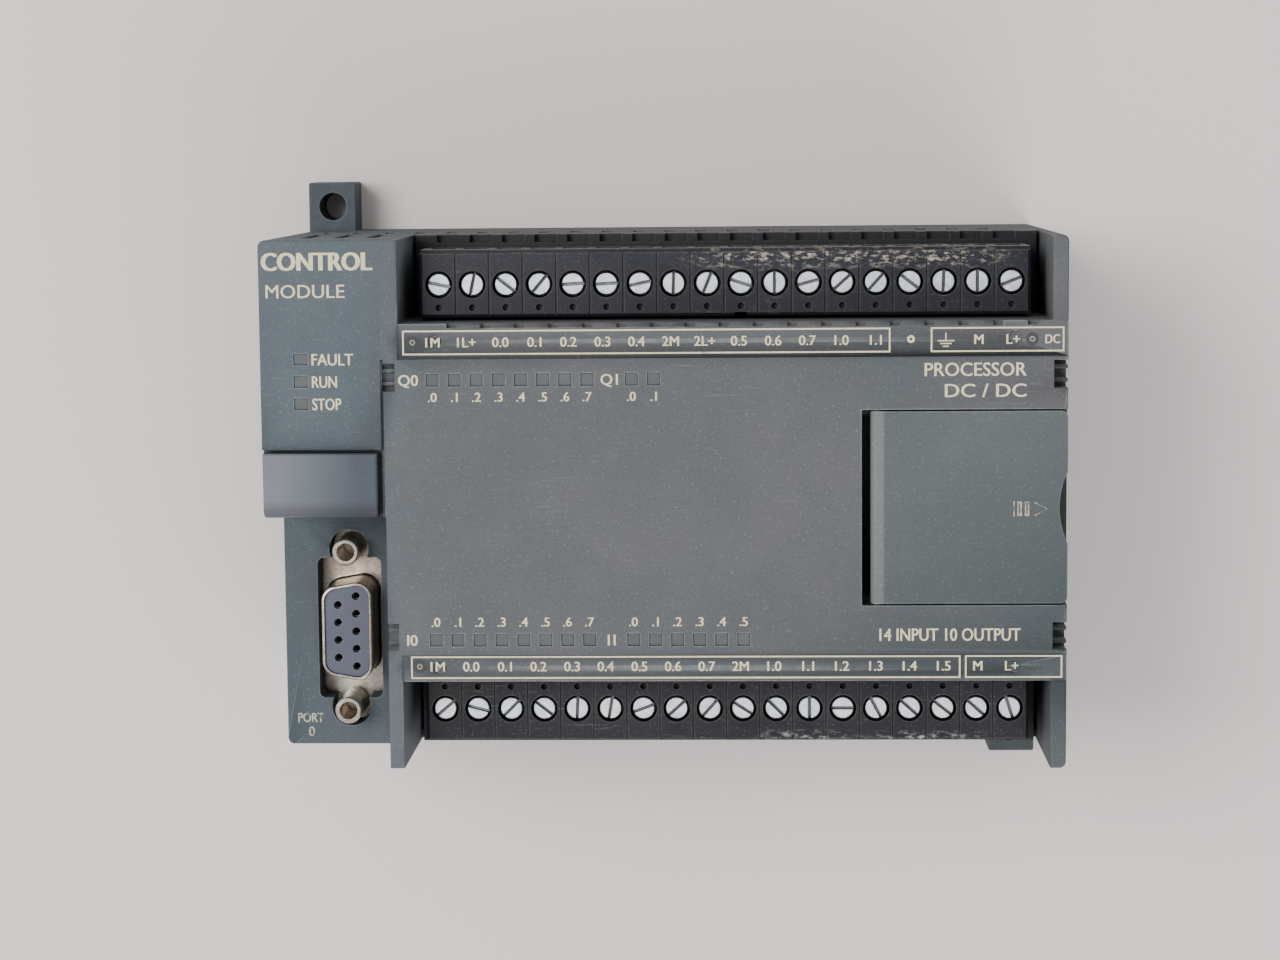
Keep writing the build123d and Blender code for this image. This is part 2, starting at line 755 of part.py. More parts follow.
def make_terminal_block(side):
    y0, y1 = across(side, 0, block_height)
    body = slab(block_left, block_right, y0, y1, block_base_z, block_front_z)
    body = chamfer(body.edges().group_by(Axis.Z)[-1], block_chamfer)
    edge = across(side, block_height - block_step, block_height + 1)
    body -= slab(block_left - 1, block_right + 1, edge[0], edge[1], block_front_z - block_step_z, block_front_z + 1)
    cuts = []
    clamp_top = clamp_base_z + clamp_height
    chamber = across(side, clamp_near() - clamp_clearance, block_height + 1)
    socket = across(side, clamp_near() - contact_size - contact_clearance, clamp_near() + 0.5)
    half_chamber = clamp_width / 2 + clamp_clearance
    half_socket = contact_size / 2 + contact_clearance
    for x in pole_xs:
        cuts.append(post(x, screw_y(side), clamp_top - 0.5, block_front_z + 1, screw_hole_radius))
        cuts.append(slab(x - half_chamber, x + half_chamber, chamber[0], chamber[1],
                         clamp_base_z - clamp_clearance, clamp_top + clamp_clearance))
        cuts.append(slab(x - half_socket, x + half_socket, socket[0], socket[1],
                         block_base_z - 1, pin_top_z + 1))
        dimple_y = screw_y(side) - side * test_hole_offset
        cuts.append(post(x, dimple_y, block_front_z - 1, block_front_z + 1, test_hole_radius))
    for x in pole_xs[:-1]:
        mid = x + pole_pitch / 2
        cuts.append(slab(mid - seam_groove_width / 2, mid + seam_groove_width / 2, y0 - 1, y1 + 1,
                         block_front_z - seam_groove_depth, block_front_z + 1))
    key_x = pole_xs[len(pole_xs) // 2]
    key = across(side, -1, key_depth)
    cuts.append(slab(key_x - key_width / 2, key_x + key_width / 2, key[0], key[1],
                     block_front_z - key_height, block_front_z + 1))
    return body - cuts


def make_terminal_screws(side, angles):
    """Slotted clamp screws, each left at its own angle."""
    head_top = block_front_z - screw_recess
    head_low = head_top - screw_head_height
    clamp_top = clamp_base_z + clamp_height
    screws = []
    y = screw_y(side)
    for x, angle in zip(pole_xs, angles):
        head = post(x, y, head_low, head_top, screw_head_radius)
        head = chamfer(head.edges().group_by(Axis.Z)[-1], 0.2)
        shank = post(x, y, clamp_top - clamp_wall - 1.2, head_low + 0.1, screw_shank_radius)
        slot = Box(2 * screw_head_radius + 1, screw_slot_width, 2 * screw_slot_depth)
        screws.append(head + shank - Pos(x, y, head_top) * (Rot(0, 0, angle) * slot))
    return group(screws)


def make_wire_clamps(side):
    """Plated cages that the screws pull up against the wire."""
    low, high = across(side, clamp_near(), clamp_far())
    top_z = clamp_base_z + clamp_height
    cages = []
    for x in pole_xs:
        cage = slab(x - clamp_width / 2, x + clamp_width / 2, low, high, clamp_base_z, top_z)
        half = clamp_width / 2 - clamp_wall
        cage -= slab(x - half, x + half, low - 1, high + 1, clamp_base_z + clamp_wall, top_z - clamp_wall)
        cage -= post(x, screw_y(side), top_z - clamp_wall - 1, top_z + 1, screw_shank_radius + thread_clearance)
        cages.append(cage)
    return group(cages)


def make_block_contacts(side):
    """Spring sockets in the block that grip the header's pins."""
    hole = pin_size + 2 * contact_clearance
    sockets = []
    for x in pole_xs:
        socket = square_post(x, pin_y(side), contact_size, block_base_z + 0.5, pin_top_z + 0.6)
        sockets.append(socket - square_post(x, pin_y(side), hole, block_base_z, pin_top_z + contact_clearance))
    return group(sockets)


def make_pin_header(side):
    """Black header bar that closes the bay's floor, with a ribbed lip over the bay's rim."""
    y_in = upper_bay_inner + header_side_gap if side > 0 else lower_bay_inner - header_side_gap
    y_out = side * (inner_top - header_side_gap)
    x0 = bay_left + header_end_gap
    x1 = bay_right - header_end_gap
    bar = slab(x0, x1, min(y_in, y_out), max(y_in, y_out), io_top, header_top_z)
    lip_in = y_out - side * header_lip_root
    lip_out = side * top
    bar += slab(x0, x1, min(lip_in, lip_out), max(lip_in, lip_out), bay_rim_z, header_top_z)
    notch_in = lip_out - side * header_notch_reach
    cuts = []
    half = header_notch_width / 2
    for x in pole_xs:
        cuts.append(slab(x - half, x + half, min(notch_in, lip_out + side), max(notch_in, lip_out + side),
                         header_top_z - header_notch_depth, header_top_z + 1))
        cuts.append(square_post(x, pin_y(side), pin_size, io_top - 1, header_top_z + 1))
    return bar - cuts


def make_header_pins(side):
    return group(square_post(x, pin_y(side), pin_size, io_board_z - pin_tail, pin_top_z) for x in pole_xs)


# ---- circuit boards ----
def make_power_board():
    gap = hook_thickness + board_edge_gap
    board = slab(inner_left + board_edge_gap, inner_right - board_edge_gap,
                 inner_bottom + gap, inner_top - gap, power_board_z, power_top)
    holes = [post(x, y, power_board_z - 1, power_top + 1, post_radius + 0.3) for x, y in tall_posts]
    return board - holes


def make_io_board():
    board = slab(inner_left + board_edge_gap, inner_right - board_edge_gap,
                 inner_bottom + board_edge_gap, inner_top - board_edge_gap, io_board_z, io_top)
    cuts = [post(x, y, io_board_z - 1, io_top + 1, board_screw_radius + 0.1) for x, y in tall_posts]
    for side in (1, -1):
        cuts += [square_post(x, pin_y(side), pin_size, io_board_z - 1, io_top + 1) for x in pole_xs]
    cuts += [post(x, y, io_board_z - 1, io_top + 1, contact_tail_radius) for x, y in port_contact_places()]
    return board - cuts


def make_cpu_board():
    board = slab(bay_left + 0.5, bay_right - board_edge_gap, cpu_low, cpu_high, cpu_board_z, cpu_top)
    return board + slab(cpu_left, bay_left + 1, well_bottom + 0.5, cpu_high, cpu_board_z, cpu_top)


def make_board_spacers():
    """Pillars that carry the upper board over the middle one."""
    xs = (bay_left + spacer_inset_x, bay_right - spacer_inset_x - post_inset_x)
    ys = (cpu_low + spacer_inset_y, cpu_high - spacer_inset_y)
    return group(post(x, y, io_top, cpu_board_z, spacer_radius) for x in xs for y in ys)


def make_board_screws():
    screws = []
    for x, y in tall_posts:
        shank = post(x, y, io_top - board_screw_length, io_top + 0.1, board_screw_radius)
        head = post(x, y, io_top, io_top + board_screw_head_height, board_screw_head_radius)
        slot = slab(x - 3, x + 3, y - 0.3, y + 0.3, io_top + board_screw_head_height - 0.6, io_top + 3)
        screws.append(shank + head - slot)
    return group(screws)


def make_board_connectors():
    """Stacking connectors: power board to middle board, middle board to upper board."""
    x0 = left + 30
    lower = slab(x0, x0 + 22, -10, -5, power_top, io_board_z)
    upper = slab(x0, x0 + 22, 4, 9, io_top, cpu_board_z)
    return group([lower, upper])


# ---- lamps ----
def make_lenses(xs, y, width, height):
    """Clear light pipes from just above the lamps to just under the front face."""
    z0 = cpu_top + led_height + led_gap
    z1 = front - lamp_sink
    w = width / 2 - lamp_clearance
    h = height / 2 - lamp_clearance
    return group(slab(x - w, x + w, y - h, y + h, z0, z1) for x in xs)


def make_leds(places):
    half = led_size / 2
    return group(slab(x - half, x + half, y - half, y + half, cpu_top, cpu_top + led_height) for x, y in places)


def make_status_lenses():
    z0 = cpu_top + led_height + led_gap
    w = status_window_width / 2 - lamp_clearance
    h = status_window_height / 2 - lamp_clearance
    return group(slab(status_x - w, status_x + w, y - h, y + h, z0, front - lamp_sink) for y in status_ys)


# ---- nine-way port connector ----
def port_contact_places():
    """Five contacts in the right row, four in the left row."""
    places = [(port_x + contact_row_gap / 2, port_y + (i - 2) * contact_pitch) for i in range(5)]
    places += [(port_x - contact_row_gap / 2, port_y + (i - 1.5) * contact_pitch) for i in range(4)]
    return places


def d_profile(inset):
    """D outline, its wide side on the right, drawn inside the shell's outer size by inset."""
    half_w = shell_width / 2
    half_l = shell_length / 2
    narrow = half_l - shell_width * math.tan(math.radians(shell_slant))
    corners = [(-half_w, -narrow), (half_w, -half_l), (half_w, half_l), (-half_w, narrow)]
    outline = Polygon(*corners, align=None)
    outline = fillet(outline.vertices(), shell_corner)
    if inset > 0:
        outline = offset(outline, -inset)
    return outline


def d_prism(inset, z0, z1):
    return Pos(port_x, port_y, z0) * extrude(d_profile(inset), z1 - z0)


def jack_places():
    return [(port_x, port_y + s * port_screw_pitch / 2) for s in (-1, 1)]


def make_dsub_shell():
    """Stamped metal shell with its flange."""
    flange = slab(port_x - flange_width / 2, port_x + flange_width / 2,
                  port_y - flange_length / 2, port_y + flange_length / 2,
                  flange_top_z - flange_thickness, flange_top_z)
    flange = fillet(flange.edges().filter_by(Axis.Z), corner_round)
    shell = flange + d_prism(0, flange_top_z - 0.1, flange_top_z + shell_rise)
    root = shell.edges().filter_by(lambda e: abs(e.center().Z - flange_top_z) < 0.01
                                   and abs(e.center().X - port_x) < shell_width / 2 + 0.2
                                   and abs(e.center().Y - port_y) < shell_length / 2 + 0.2)
    shell = fillet(root, edge_round)
    shell = fillet(shell.edges().group_by(Axis.Z)[-1], shell_lip_round)
    shell -= d_prism(shell_skin, flange_top_z - 2, flange_top_z + shell_rise + 1)
    shell -= [post(x, y, flange_top_z - 2, flange_top_z + 1, jack_shank_radius + thread_clearance)
              for x, y in jack_places()]
    return shell


def make_dsub_insulator():
    """Blue-grey plastic body that carries the contacts and stands on the middle board."""
    top_z = flange_top_z + shell_rise - insulator_sink
    body = d_prism(shell_skin + insulator_clearance, flange_top_z - flange_thickness - 0.1, top_z)
    body += slab(port_x - insulator_body_width / 2, port_x + insulator_body_width / 2,
                 port_y - insulator_body_length / 2, port_y + insulator_body_length / 2,
                 io_top, flange_top_z - flange_thickness)
    cuts = []
    for x, y in port_contact_places():
        cuts.append(post(x, y, top_z - contact_depth, top_z + 1, contact_hole_radius))
        cuts.append(post(x, y, io_top - 1, top_z - contact_depth, contact_tube_radius + insulator_clearance))
    return body - cuts


def make_dsub_contacts():
    top_z = flange_top_z + shell_rise - insulator_sink - contact_depth
    contacts = []
    for x, y in port_contact_places():
        tube = post(x, y, io_top, top_z - 0.1, contact_tube_radius)
        tube -= post(x, y, top_z - 6, top_z + 1, contact_bore_radius)
        contacts.append(tube + post(x, y, io_board_z - pin_tail, io_top + 0.5, contact_tail_radius))
    return group(contacts)


def make_dsub_jacks():
    """Jack screws: threaded posts that hold the plug's screws and clamp the flange."""
    top_z = flange_top_z + jack_rise
    jacks = []
    for x, y in jack_places():
        jack = post(x, y, flange_top_z, top_z, jack_radius)
        jack = chamfer(jack.edges().group_by(Axis.Z)[-1], 0.25)
        jack += post(x, y, flange_top_z - jack_shank_length, flange_top_z + 0.1, jack_shank_radius)
        jacks.append(jack - post(x, y, top_z - jack_bore_length, top_z + 1, jack_bore_radius))
    return group(jacks)


# ---- rail clip ----
def make_din_clip():
    nose = -rail_channel / 2 + clip_nose_reach
    tab = bottom - clip_tab_reach
    flange = slab(-clip_width / 2, clip_width / 2, tab, nose, clip_flange_z, clip_top_z)
    web = slab(-clip_web_width / 2, clip_web_width / 2, tab, -rail_channel / 2 - 1, clip_base_z, clip_flange_z + 0.1)
    clip = flange + web
    lead = clip.edges().filter_by(Axis.X).sort_by(Axis.Y)[-2:].sort_by(Axis.Z)[0]
    clip = chamfer(lead, clip_nose_reach * 0.8)
    slot_y = tab + clip_slot_width
    return clip - slab(-clip_slot_length / 2, clip_slot_length / 2, slot_y - clip_slot_width / 2,
                       slot_y + clip_slot_width / 2, clip_base_z - 1, clip_top_z + 1)


# ---- controls behind the door ----
def make_mode_switch():
    half_w = switch_width / 2
    half_l = switch_length / 2
    body = slab(switch_x - half_w, switch_x + half_w, switch_y - half_l, switch_y + half_l, cpu_top, switch_top_z)
    foot = lever_foot / 2 + lever_gap
    reach = lever_travel + lever_gap
    floor_z = switch_top_z - switch_wall - lever_foot_height - 2 * lever_gap
    body -= slab(switch_x - foot, switch_x + foot, switch_y - foot - reach, switch_y + foot + reach,
                 floor_z, switch_top_z - switch_wall)
    stem_w = lever_width / 2 + lever_gap
    stem_l = lever_length / 2 + reach
    return body - slab(switch_x - stem_w, switch_x + stem_w, switch_y - stem_l, switch_y + stem_l,
                       floor_z, switch_top_z + 1)


def make_mode_lever():
    """Slide lever of the mode switch, shown in its middle position."""
    foot_z = switch_top_z - switch_wall - lever_gap - lever_foot_height
    half = lever_foot / 2
    foot = slab(switch_x - half, switch_x + half, switch_y - half, switch_y + half,
                foot_z, foot_z + lever_foot_height)
    stem = slab(switch_x - lever_width / 2, switch_x + lever_width / 2, switch_y - lever_length / 2,
                switch_y + lever_length / 2, foot_z, lever_top_z)
    stem = fillet(stem.edges().group_by(Axis.Z)[-1], edge_round)
    return foot + stem


def make_pot_bodies():
    bodies = []
    half = pot_size / 2
    for y in pot_ys:
        body = slab(switch_x - half, switch_x + half, y - half, y + half, cpu_top, cpu_top + pot_height)
        well = post(switch_x, y, cpu_top + 1, cpu_top + pot_height + 1, pot_rotor_radius + pot_rotor_gap)
        bodies.append(body - well)
    return group(bodies)


def make_pot_rotor(y):
    """Cross-slotted rotor of one trimmer."""
    z0 = cpu_top + 1 + pot_rotor_gap
    z1 = z0 + pot_rotor_height
    rotor = post(switch_x, y, z0, z1, pot_rotor_radius)
    rotor -= Pos(switch_x, y, z1) * Box(2.4, pot_slot_width, 2 * pot_slot_depth)
    return rotor - Pos(switch_x, y, z1) * Box(pot_slot_width, 2.4, 2 * pot_slot_depth)


def expansion_places():
    return [(expansion_x + s * expansion_pitch / 2,
             door_centre_y + (i - (expansion_pairs - 1) / 2) * expansion_pitch)
            for s in (-1, 1) for i in range(expansion_pairs)]


def make_expansion_connector():
    half_w = expansion_width / 2
    half_l = expansion_length / 2
    body = slab(expansion_x - half_w, expansion_x + half_w, door_centre_y - half_l, door_centre_y + half_l,
                cpu_top, cpu_top + expansion_height)
    body -= slab(expansion_x - half_w + expansion_wall, expansion_x + half_w - expansion_wall,
                 door_centre_y - half_l + expansion_wall, door_centre_y + half_l - expansion_wall,
                 cpu_top + expansion_floor, cpu_top + expansion_height + 1)
    body -= slab(expansion_x - half_w - 1, expansion_x - half_w + expansion_wall + 0.1,
                 door_centre_y - 2.2, door_centre_y + 2.2, pocket_floor_z + pocket_floor,
                 cpu_top + expansion_height + 1)
    return body - [square_post(x, y, expansion_pin, cpu_top - 1, cpu_top + 3) for x, y in expansion_places()]


def make_expansion_pins():
    return group(square_post(x, y, expansion_pin, cpu_top, cpu_top + expansion_pin_rise)
                 for x, y in expansion_places())


def make_cartridge_socket():
    body = slab(socket_x - socket_width / 2, socket_x + socket_width / 2, socket_y - socket_height / 2,
                socket_y + socket_height / 2, cpu_top, cpu_top + socket_rise)
    top_z = cpu_top + socket_rise
    return body - slab(socket_x - socket_slot_width / 2, socket_x + socket_slot_width / 2,
                       socket_y - socket_slot_height / 2, socket_y + socket_slot_height / 2,
                       top_z - socket_slot_depth, top_z + 1)


def make_cartridge_contacts():
    """Thin contacts along one side of the cartridge slot."""
    y1 = socket_y + socket_slot_height / 2
    top_z = cpu_top + socket_rise
    xs = [socket_x + (i - (socket_contact_count - 1) / 2) * socket_contact_pitch for i in range(socket_contact_count)]
    return group(slab(x - 0.3, x + 0.3, y1 - 0.3, y1, top_z - socket_slot_depth, top_z - 0.4) for x in xs)


# ---- electronics on the boards ----
def chip(x, y, z, length, width, height):
    return slab(x - length / 2, x + length / 2, y - width / 2, y + width / 2, z, z + height)


def can(x, y, z, radius, height):
    body = post(x, y, z, z + height, radius)
    return chamfer(body.edges().group_by(Axis.Z)[-1], 0.4)


def make_processor():
    return chip(bay_left + 28, 0, cpu_top, 14, 14, 1.6)


def make_memory_chips():
    return group(chip(bay_left + 44, y, cpu_top, 10, 6, 1.4) for y in (-6, 6))


def make_backup_capacitor():
    return can(bay_left + 11, 2, cpu_top, 5.5, 6.5)


def make_output_drivers():
    """Low, wide power chips behind the output terminals."""
    return group(chip(bay_left + 12 + i * 17, 14, io_top, 11, 8, 2.4) for i in range(5))


def make_input_couplers():
    """Optical couplers behind the input terminals, four channels in each."""
    return group(chip(bay_left + 12 + i * 20, -14, io_top, 10.5, 6.5, 2.2) for i in range(4))


def make_transformer():
    x = right - 26
    core = chip(x, 3, power_top, 24, 18, 16)
    return core + chip(x, 3, power_top, 16, 22, 12)


def make_bulk_capacitors():
    places = [(left + 17, 8), (left + 17, -6), (right - 48, -12)]
    return group(can(x, y, power_top, 5.0, 13) for x, y in places)


def make_power_inductor():
    x = right - 50
    return post(x, 8, power_top, power_top + 8, 4.5) + chip(x, 8, power_top, 11, 11, 1.5)


def make_power_transistors():
    return group(chip(right - 34 + i * 14, -17, power_top, 10, 9, 4.4) for i in range(2))


def make_fuse():
    body = chip(left + 30, 14, power_top, 11, 4.2, 4.2)
    return fillet(body.edges().filter_by(Axis.X), 1.0)


upper_angles = (-12, 78, -38, 50, 3, 3, 12, 88, 68, -18, 90, 15, 42, 48, -38, 88, 90, 22)
lower_angles = (40, -15, 45, -38, 87, 80, 20, 42, 48, -33, -45, 90, 0, -62, -42, -38, -42, -72)


def screw_angles(angles):
    """As many screw angles as there are poles, repeated when there are more poles."""
    return [angles[i % len(angles)] for i in range(pole_count)]


def build_parts():
    outputs = lamp_xs(output_second_bank)
    inputs = lamp_xs(input_second_bank)
    parts = {
        "rear_housing": make_rear_housing(),
        "access_door": make_access_door(),
        "cartridge_cover": make_cartridge_cover(),
        "din_clip": make_din_clip(),
        "power_board": make_power_board(),
        "io_board": make_io_board(),
        "cpu_board": make_cpu_board(),
        "board_spacers": make_board_spacers(),
        "board_screws": make_board_screws(),
        "board_connectors": make_board_connectors(),
        "output_lenses": make_lenses(outputs, upper_lamp_y, lamp_window, lamp_window),
        "input_lenses": make_lenses(inputs, lower_lamp_y, lamp_window, lamp_window),
        "status_lenses": make_status_lenses(),
        "output_leds": make_leds([(x, upper_lamp_y) for x in outputs]),
        "input_leds": make_leds([(x, lower_lamp_y) for x in inputs]),
        "status_leds": make_leds([(status_x, y) for y in status_ys]),
        "dsub_shell": make_dsub_shell(),
        "dsub_insulator": make_dsub_insulator(),
        "dsub_contacts": make_dsub_contacts(),
        "dsub_jacks": make_dsub_jacks(),
        "mode_switch_body": make_mode_switch(),
        "mode_switch_lever": make_mode_lever(),
        "trimmer_bodies": make_pot_bodies(),
        "trimmer_rotor_0": make_pot_rotor(pot_ys[0]),
        "trimmer_rotor_1": make_pot_rotor(pot_ys[1]),
        "expansion_connector": make_expansion_connector(),
        "expansion_pins": make_expansion_pins(),
        "cartridge_socket": make_cartridge_socket(),
        "cartridge_contacts": make_cartridge_contacts(),
        "processor": make_processor(),
        "memory_chips": make_memory_chips(),
        "backup_capacitor": make_backup_capacitor(),
        "output_drivers": make_output_drivers(),
        "input_couplers": make_input_couplers(),
        "transformer": make_transformer(),
        "bulk_capacitors": make_bulk_capacitors(),
        "power_inductor": make_power_inductor(),
        "power_transistors": make_power_transistors(),
        "fuse": make_fuse(),
    }
    parts.update(divide_front_housing(make_front_housing()))
    for name, side, angles in (("upper", 1, upper_angles), ("lower", -1, lower_angles)):
        parts[name + "_terminal_block"] = make_terminal_block(side)
        parts[name + "_terminal_screws"] = make_terminal_screws(side, screw_angles(angles))
        parts[name + "_wire_clamps"] = make_wire_clamps(side)
        parts[name + "_block_contacts"] = make_block_contacts(side)
        parts[name + "_pin_header"] = make_pin_header(side)
        parts[name + "_header_pins"] = make_header_pins(side)
    return parts


os.makedirs("parts", exist_ok=True)
for node, shape in build_parts().items():
    export_step(shape, "parts/" + node + ".step")
    print(node, round(shape.volume, 1))
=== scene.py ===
# %% [markdown]
# # A programmable controller for a switch cabinet
#
# The object is a grey plastic module about as large as a paperback. It has two rows of screw
# terminals, a nine-way port, a small access door and rows of printed lamp numbers.
# Its shapes come from a CAD model that is already packed, so this lesson is about the finish:
# what each plastic and metal is like, how it wears, and how the printing sits on it.
#
# All lengths in Blender are metres here. A controller is designed in millimetres, so the first
# thing we need is a small unit that turns one into the other.

import math

import bmesh
import bpy
from mathutils import Matrix, Vector


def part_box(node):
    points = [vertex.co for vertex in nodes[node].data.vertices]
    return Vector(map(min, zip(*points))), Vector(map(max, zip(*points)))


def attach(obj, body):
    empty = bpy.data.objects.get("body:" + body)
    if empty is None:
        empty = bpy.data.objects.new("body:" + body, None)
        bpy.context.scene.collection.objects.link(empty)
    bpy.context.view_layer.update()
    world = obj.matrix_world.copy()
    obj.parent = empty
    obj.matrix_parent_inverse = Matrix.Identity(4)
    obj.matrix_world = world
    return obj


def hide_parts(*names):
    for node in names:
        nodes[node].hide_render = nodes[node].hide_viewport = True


MM = 0.001
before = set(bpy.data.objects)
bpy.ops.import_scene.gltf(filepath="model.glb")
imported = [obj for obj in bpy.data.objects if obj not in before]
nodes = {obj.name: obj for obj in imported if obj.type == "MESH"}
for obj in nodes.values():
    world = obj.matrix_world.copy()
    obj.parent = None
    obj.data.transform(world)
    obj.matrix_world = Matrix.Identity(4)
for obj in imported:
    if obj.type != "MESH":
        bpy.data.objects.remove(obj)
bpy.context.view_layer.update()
print("nodes on the frame:", len(nodes))

# %% [markdown]
# ## The view
#
# The module lies on its back and is seen almost straight from above, a little from the lower edge,
# so that the upper inside walls of the openings show. A long lens keeps its sides nearly parallel.
# A camera could be aimed with a Track To constraint. A fixed matrix is plainer: its three columns
# are the directions of the picture's right side, its top, and the way back to the viewer.

# %% Camera
eye = Vector((0.014317, 0.052968, 0.508516))
right_way = Vector((0.99921, -0.00881, -0.03877)).normalized()
back_way = Vector((0.03950, 0.10920, 0.99323)).normalized()
up_way = back_way.cross(right_way).normalized()
right_way = up_way.cross(back_way).normalized()

camera_data = bpy.data.cameras.new("bench_camera")
camera_data.lens = 84.57
camera_data.sensor_width = 36.0
camera_data.clip_start = 0.01
camera_data.dof.use_dof = False
camera = bpy.data.objects.new("bench_camera", camera_data)
bpy.context.scene.collection.objects.link(camera)
turn = Matrix((right_way, up_way, back_way)).transposed().to_4x4()
camera.matrix_world = Matrix.Translation(eye) @ turn
bpy.context.scene.camera = camera
print("camera height above the table in mm:", round(eye.z / MM))

# %% [markdown]
# ## Light
#
# The room is lit by a wide window to the upper left: its light is soft, and the shadow falls to
# the right and a little downwards. A second, weaker lamp from the other side stands for the light
# that the room's walls throw back, and the world colour for the ceiling. Area lamps are used
# because their size sets how soft a shadow's edge is.

# %% A lamp that looks at the module
def hang_lamp(name, place, width, watts, colour):
    """A square area lamp at a place, turned towards the middle of the module."""
    data = bpy.data.lights.new(name, "AREA")
    data.shape = "SQUARE"
    data.size = width
    data.energy = watts
    data.color = colour
    lamp = bpy.data.objects.new(name, data)
    bpy.context.scene.collection.objects.link(lamp)
    lamp.location = place
    lamp.rotation_euler = (Vector((0, 0, 0.03)) - Vector(place)).to_track_quat("-Z", "Y").to_euler()
    return lamp


# %% Hang the lamps
window = hang_lamp("window", (-0.72, 0.30, 1.20), 0.75, 19.6, (1.0, 0.985, 0.965))
wall_glow = hang_lamp("wall_glow", (0.35, -0.8, 0.8), 0.9, 10.0, (0.95, 0.97, 1.0))
world = bpy.data.worlds.new("ceiling")
world.use_nodes = True
bpy.context.scene.world = world
background = world.node_tree.nodes["Background"]
background.inputs["Color"].default_value = (0.93, 0.94, 0.97, 1)
background.inputs["Strength"].default_value = 0.62
print("lamps:", window.name, wall_glow.name)

# %% [markdown]
# ## The front moulding in one piece
#
# For its collision shapes the front moulding comes as eight nodes that meet face to face. The real
# one is a single moulding, and a rounded edge may only be drawn where the plastic really ends. So
# the eight are joined for the eye. Joining with Ctrl J would leave the faces inside the joints, and
# a Boolean union removes them. The Exact solver is the one that copes with faces on each other.

# %% Join the front moulding
MOULDING = (
    "front_panel",
    "front_skirt",
    "port_corner",
    "column_shell",
    "upper_bay",
    "lower_bay",
    "door_pocket",
    "cartridge_well",
)


def union_of(name, parts):
    """One closed mesh piece from nodes that touch, with their inner faces gone."""
    helpers = []
    for part in parts:
        helper = bpy.data.objects.new(part + "_copy", nodes[part].data.copy())
        bpy.context.scene.collection.objects.link(helper)
        helpers.append(helper)
    for other in helpers[1:]:
        union = helpers[0].modifiers.new("union", "BOOLEAN")
        union.operation = "UNION"
        union.solver = "EXACT"
        union.object = other
    graph = bpy.context.evaluated_depsgraph_get()
    mesh = bpy.data.meshes.new_from_object(helpers[0].evaluated_get(graph))
    mesh.name = name
    mesh.materials.clear()
    for helper in helpers:
        data = helper.data
        bpy.data.objects.remove(helper)
        bpy.data.meshes.remove(data)
    piece = bpy.data.objects.new(name, mesh)
    bpy.context.scene.collection.objects.link(piece)
    return piece


front_moulding = union_of("front_moulding", MOULDING)
front_moulding.data.shade_smooth()
front_moulding.data.set_sharp_from_angle(angle=math.radians(30))
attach(front_moulding, "module")
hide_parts(*MOULDING)

joined = bmesh.new()
joined.from_mesh(front_moulding.data)
open_edges = sum(1 for edge in joined.edges if not edge.is_manifold)
print("front moulding:", len(joined.faces), "faces,", open_edges, "open edges")
joined.free()

# %% [markdown]
# ## How a finish is built
#
# A real moulded plastic is never one flat colour. It has a slow mottle from handling and sunlight,
# a fine grain from the mould, pale lines where its edges have rubbed, and dust and painted shade in its
# corners.
# Each of these is a pattern, so each is a few shader nodes. Images could be painted instead, but
# node patterns stay sharp at any distance and need no unwrapping.
#
# All patterns read Object coordinates. They are fixed to the piece, in metres, so the grain stays
# the same size on every piece and moves with it.

# %% Small helpers for shader nodes
def colour_of(red, green, blue):
    """A colour given as it looks on screen, 0 to 255, turned into the linear value nodes use."""
    def linear(value):
        share = value / 255
        return share / 12.92 if share <= 0.04045 else ((share + 0.055) / 1.055) ** 2.4
    return (linear(red), linear(green), linear(blue), 1.0)


def start_finish(name):
    """A new material: its node tree, its shader and its object coordinates."""
    material = bpy.data.materials.new(name)
    material.use_nodes = True
    tree = material.node_tree
    shader = tree.nodes["Principled BSDF"]
    place = tree.nodes.new("ShaderNodeTexCoord").outputs["Object"]
    return material, tree, shader, place


def stretched(tree, place, stretch, turn=(0, 0, 0)):
    """The coordinates scaled and turned, which draws a pattern out along one direction."""
    mapping = tree.nodes.new("ShaderNodeMapping")
    mapping.inputs["Scale"].default_value = stretch
    mapping.inputs["Rotation"].default_value = turn
    tree.links.new(place, mapping.inputs["Vector"])
    return mapping.outputs["Vector"]


def clouds(tree, place, scale, detail=4.0, contrast=0.55):
    """Cloudy noise from 0 to 1. A scale of 1000 has cells about a millimetre wide."""
    texture = tree.nodes.new("ShaderNodeTexNoise")
    texture.inputs["Scale"].default_value = scale
    texture.inputs["Detail"].default_value = detail
    texture.inputs["Roughness"].default_value = contrast
    tree.links.new(place, texture.inputs["Vector"])
    return texture.outputs["Fac"]


def spread(tree, value, low, high, to_low=0.0, to_high=1.0):
    """Stretches the part of a value between low and high over a new range, and clips the rest."""
    node = tree.nodes.new("ShaderNodeMapRange")
    node.clamp = True
    node.inputs["From Min"].default_value = low
    node.inputs["From Max"].default_value = high
    node.inputs["To Min"].default_value = to_low
    node.inputs["To Max"].default_value = to_high
    tree.links.new(value, node.inputs["Value"])
    return node.outputs["Result"]


def combine(tree, kind, first, second):
    """One sum of two values, such as MULTIPLY or MAXIMUM. The second may be a plain number."""
    node = tree.nodes.new("ShaderNodeMath")
    node.operation = kind
    tree.links.new(first, node.inputs[0])
    if isinstance(second, (int, float)):
        node.inputs[1].default_value = second
    else:
        tree.links.new(second, node.inputs[1])
    return node.outputs["Value"]


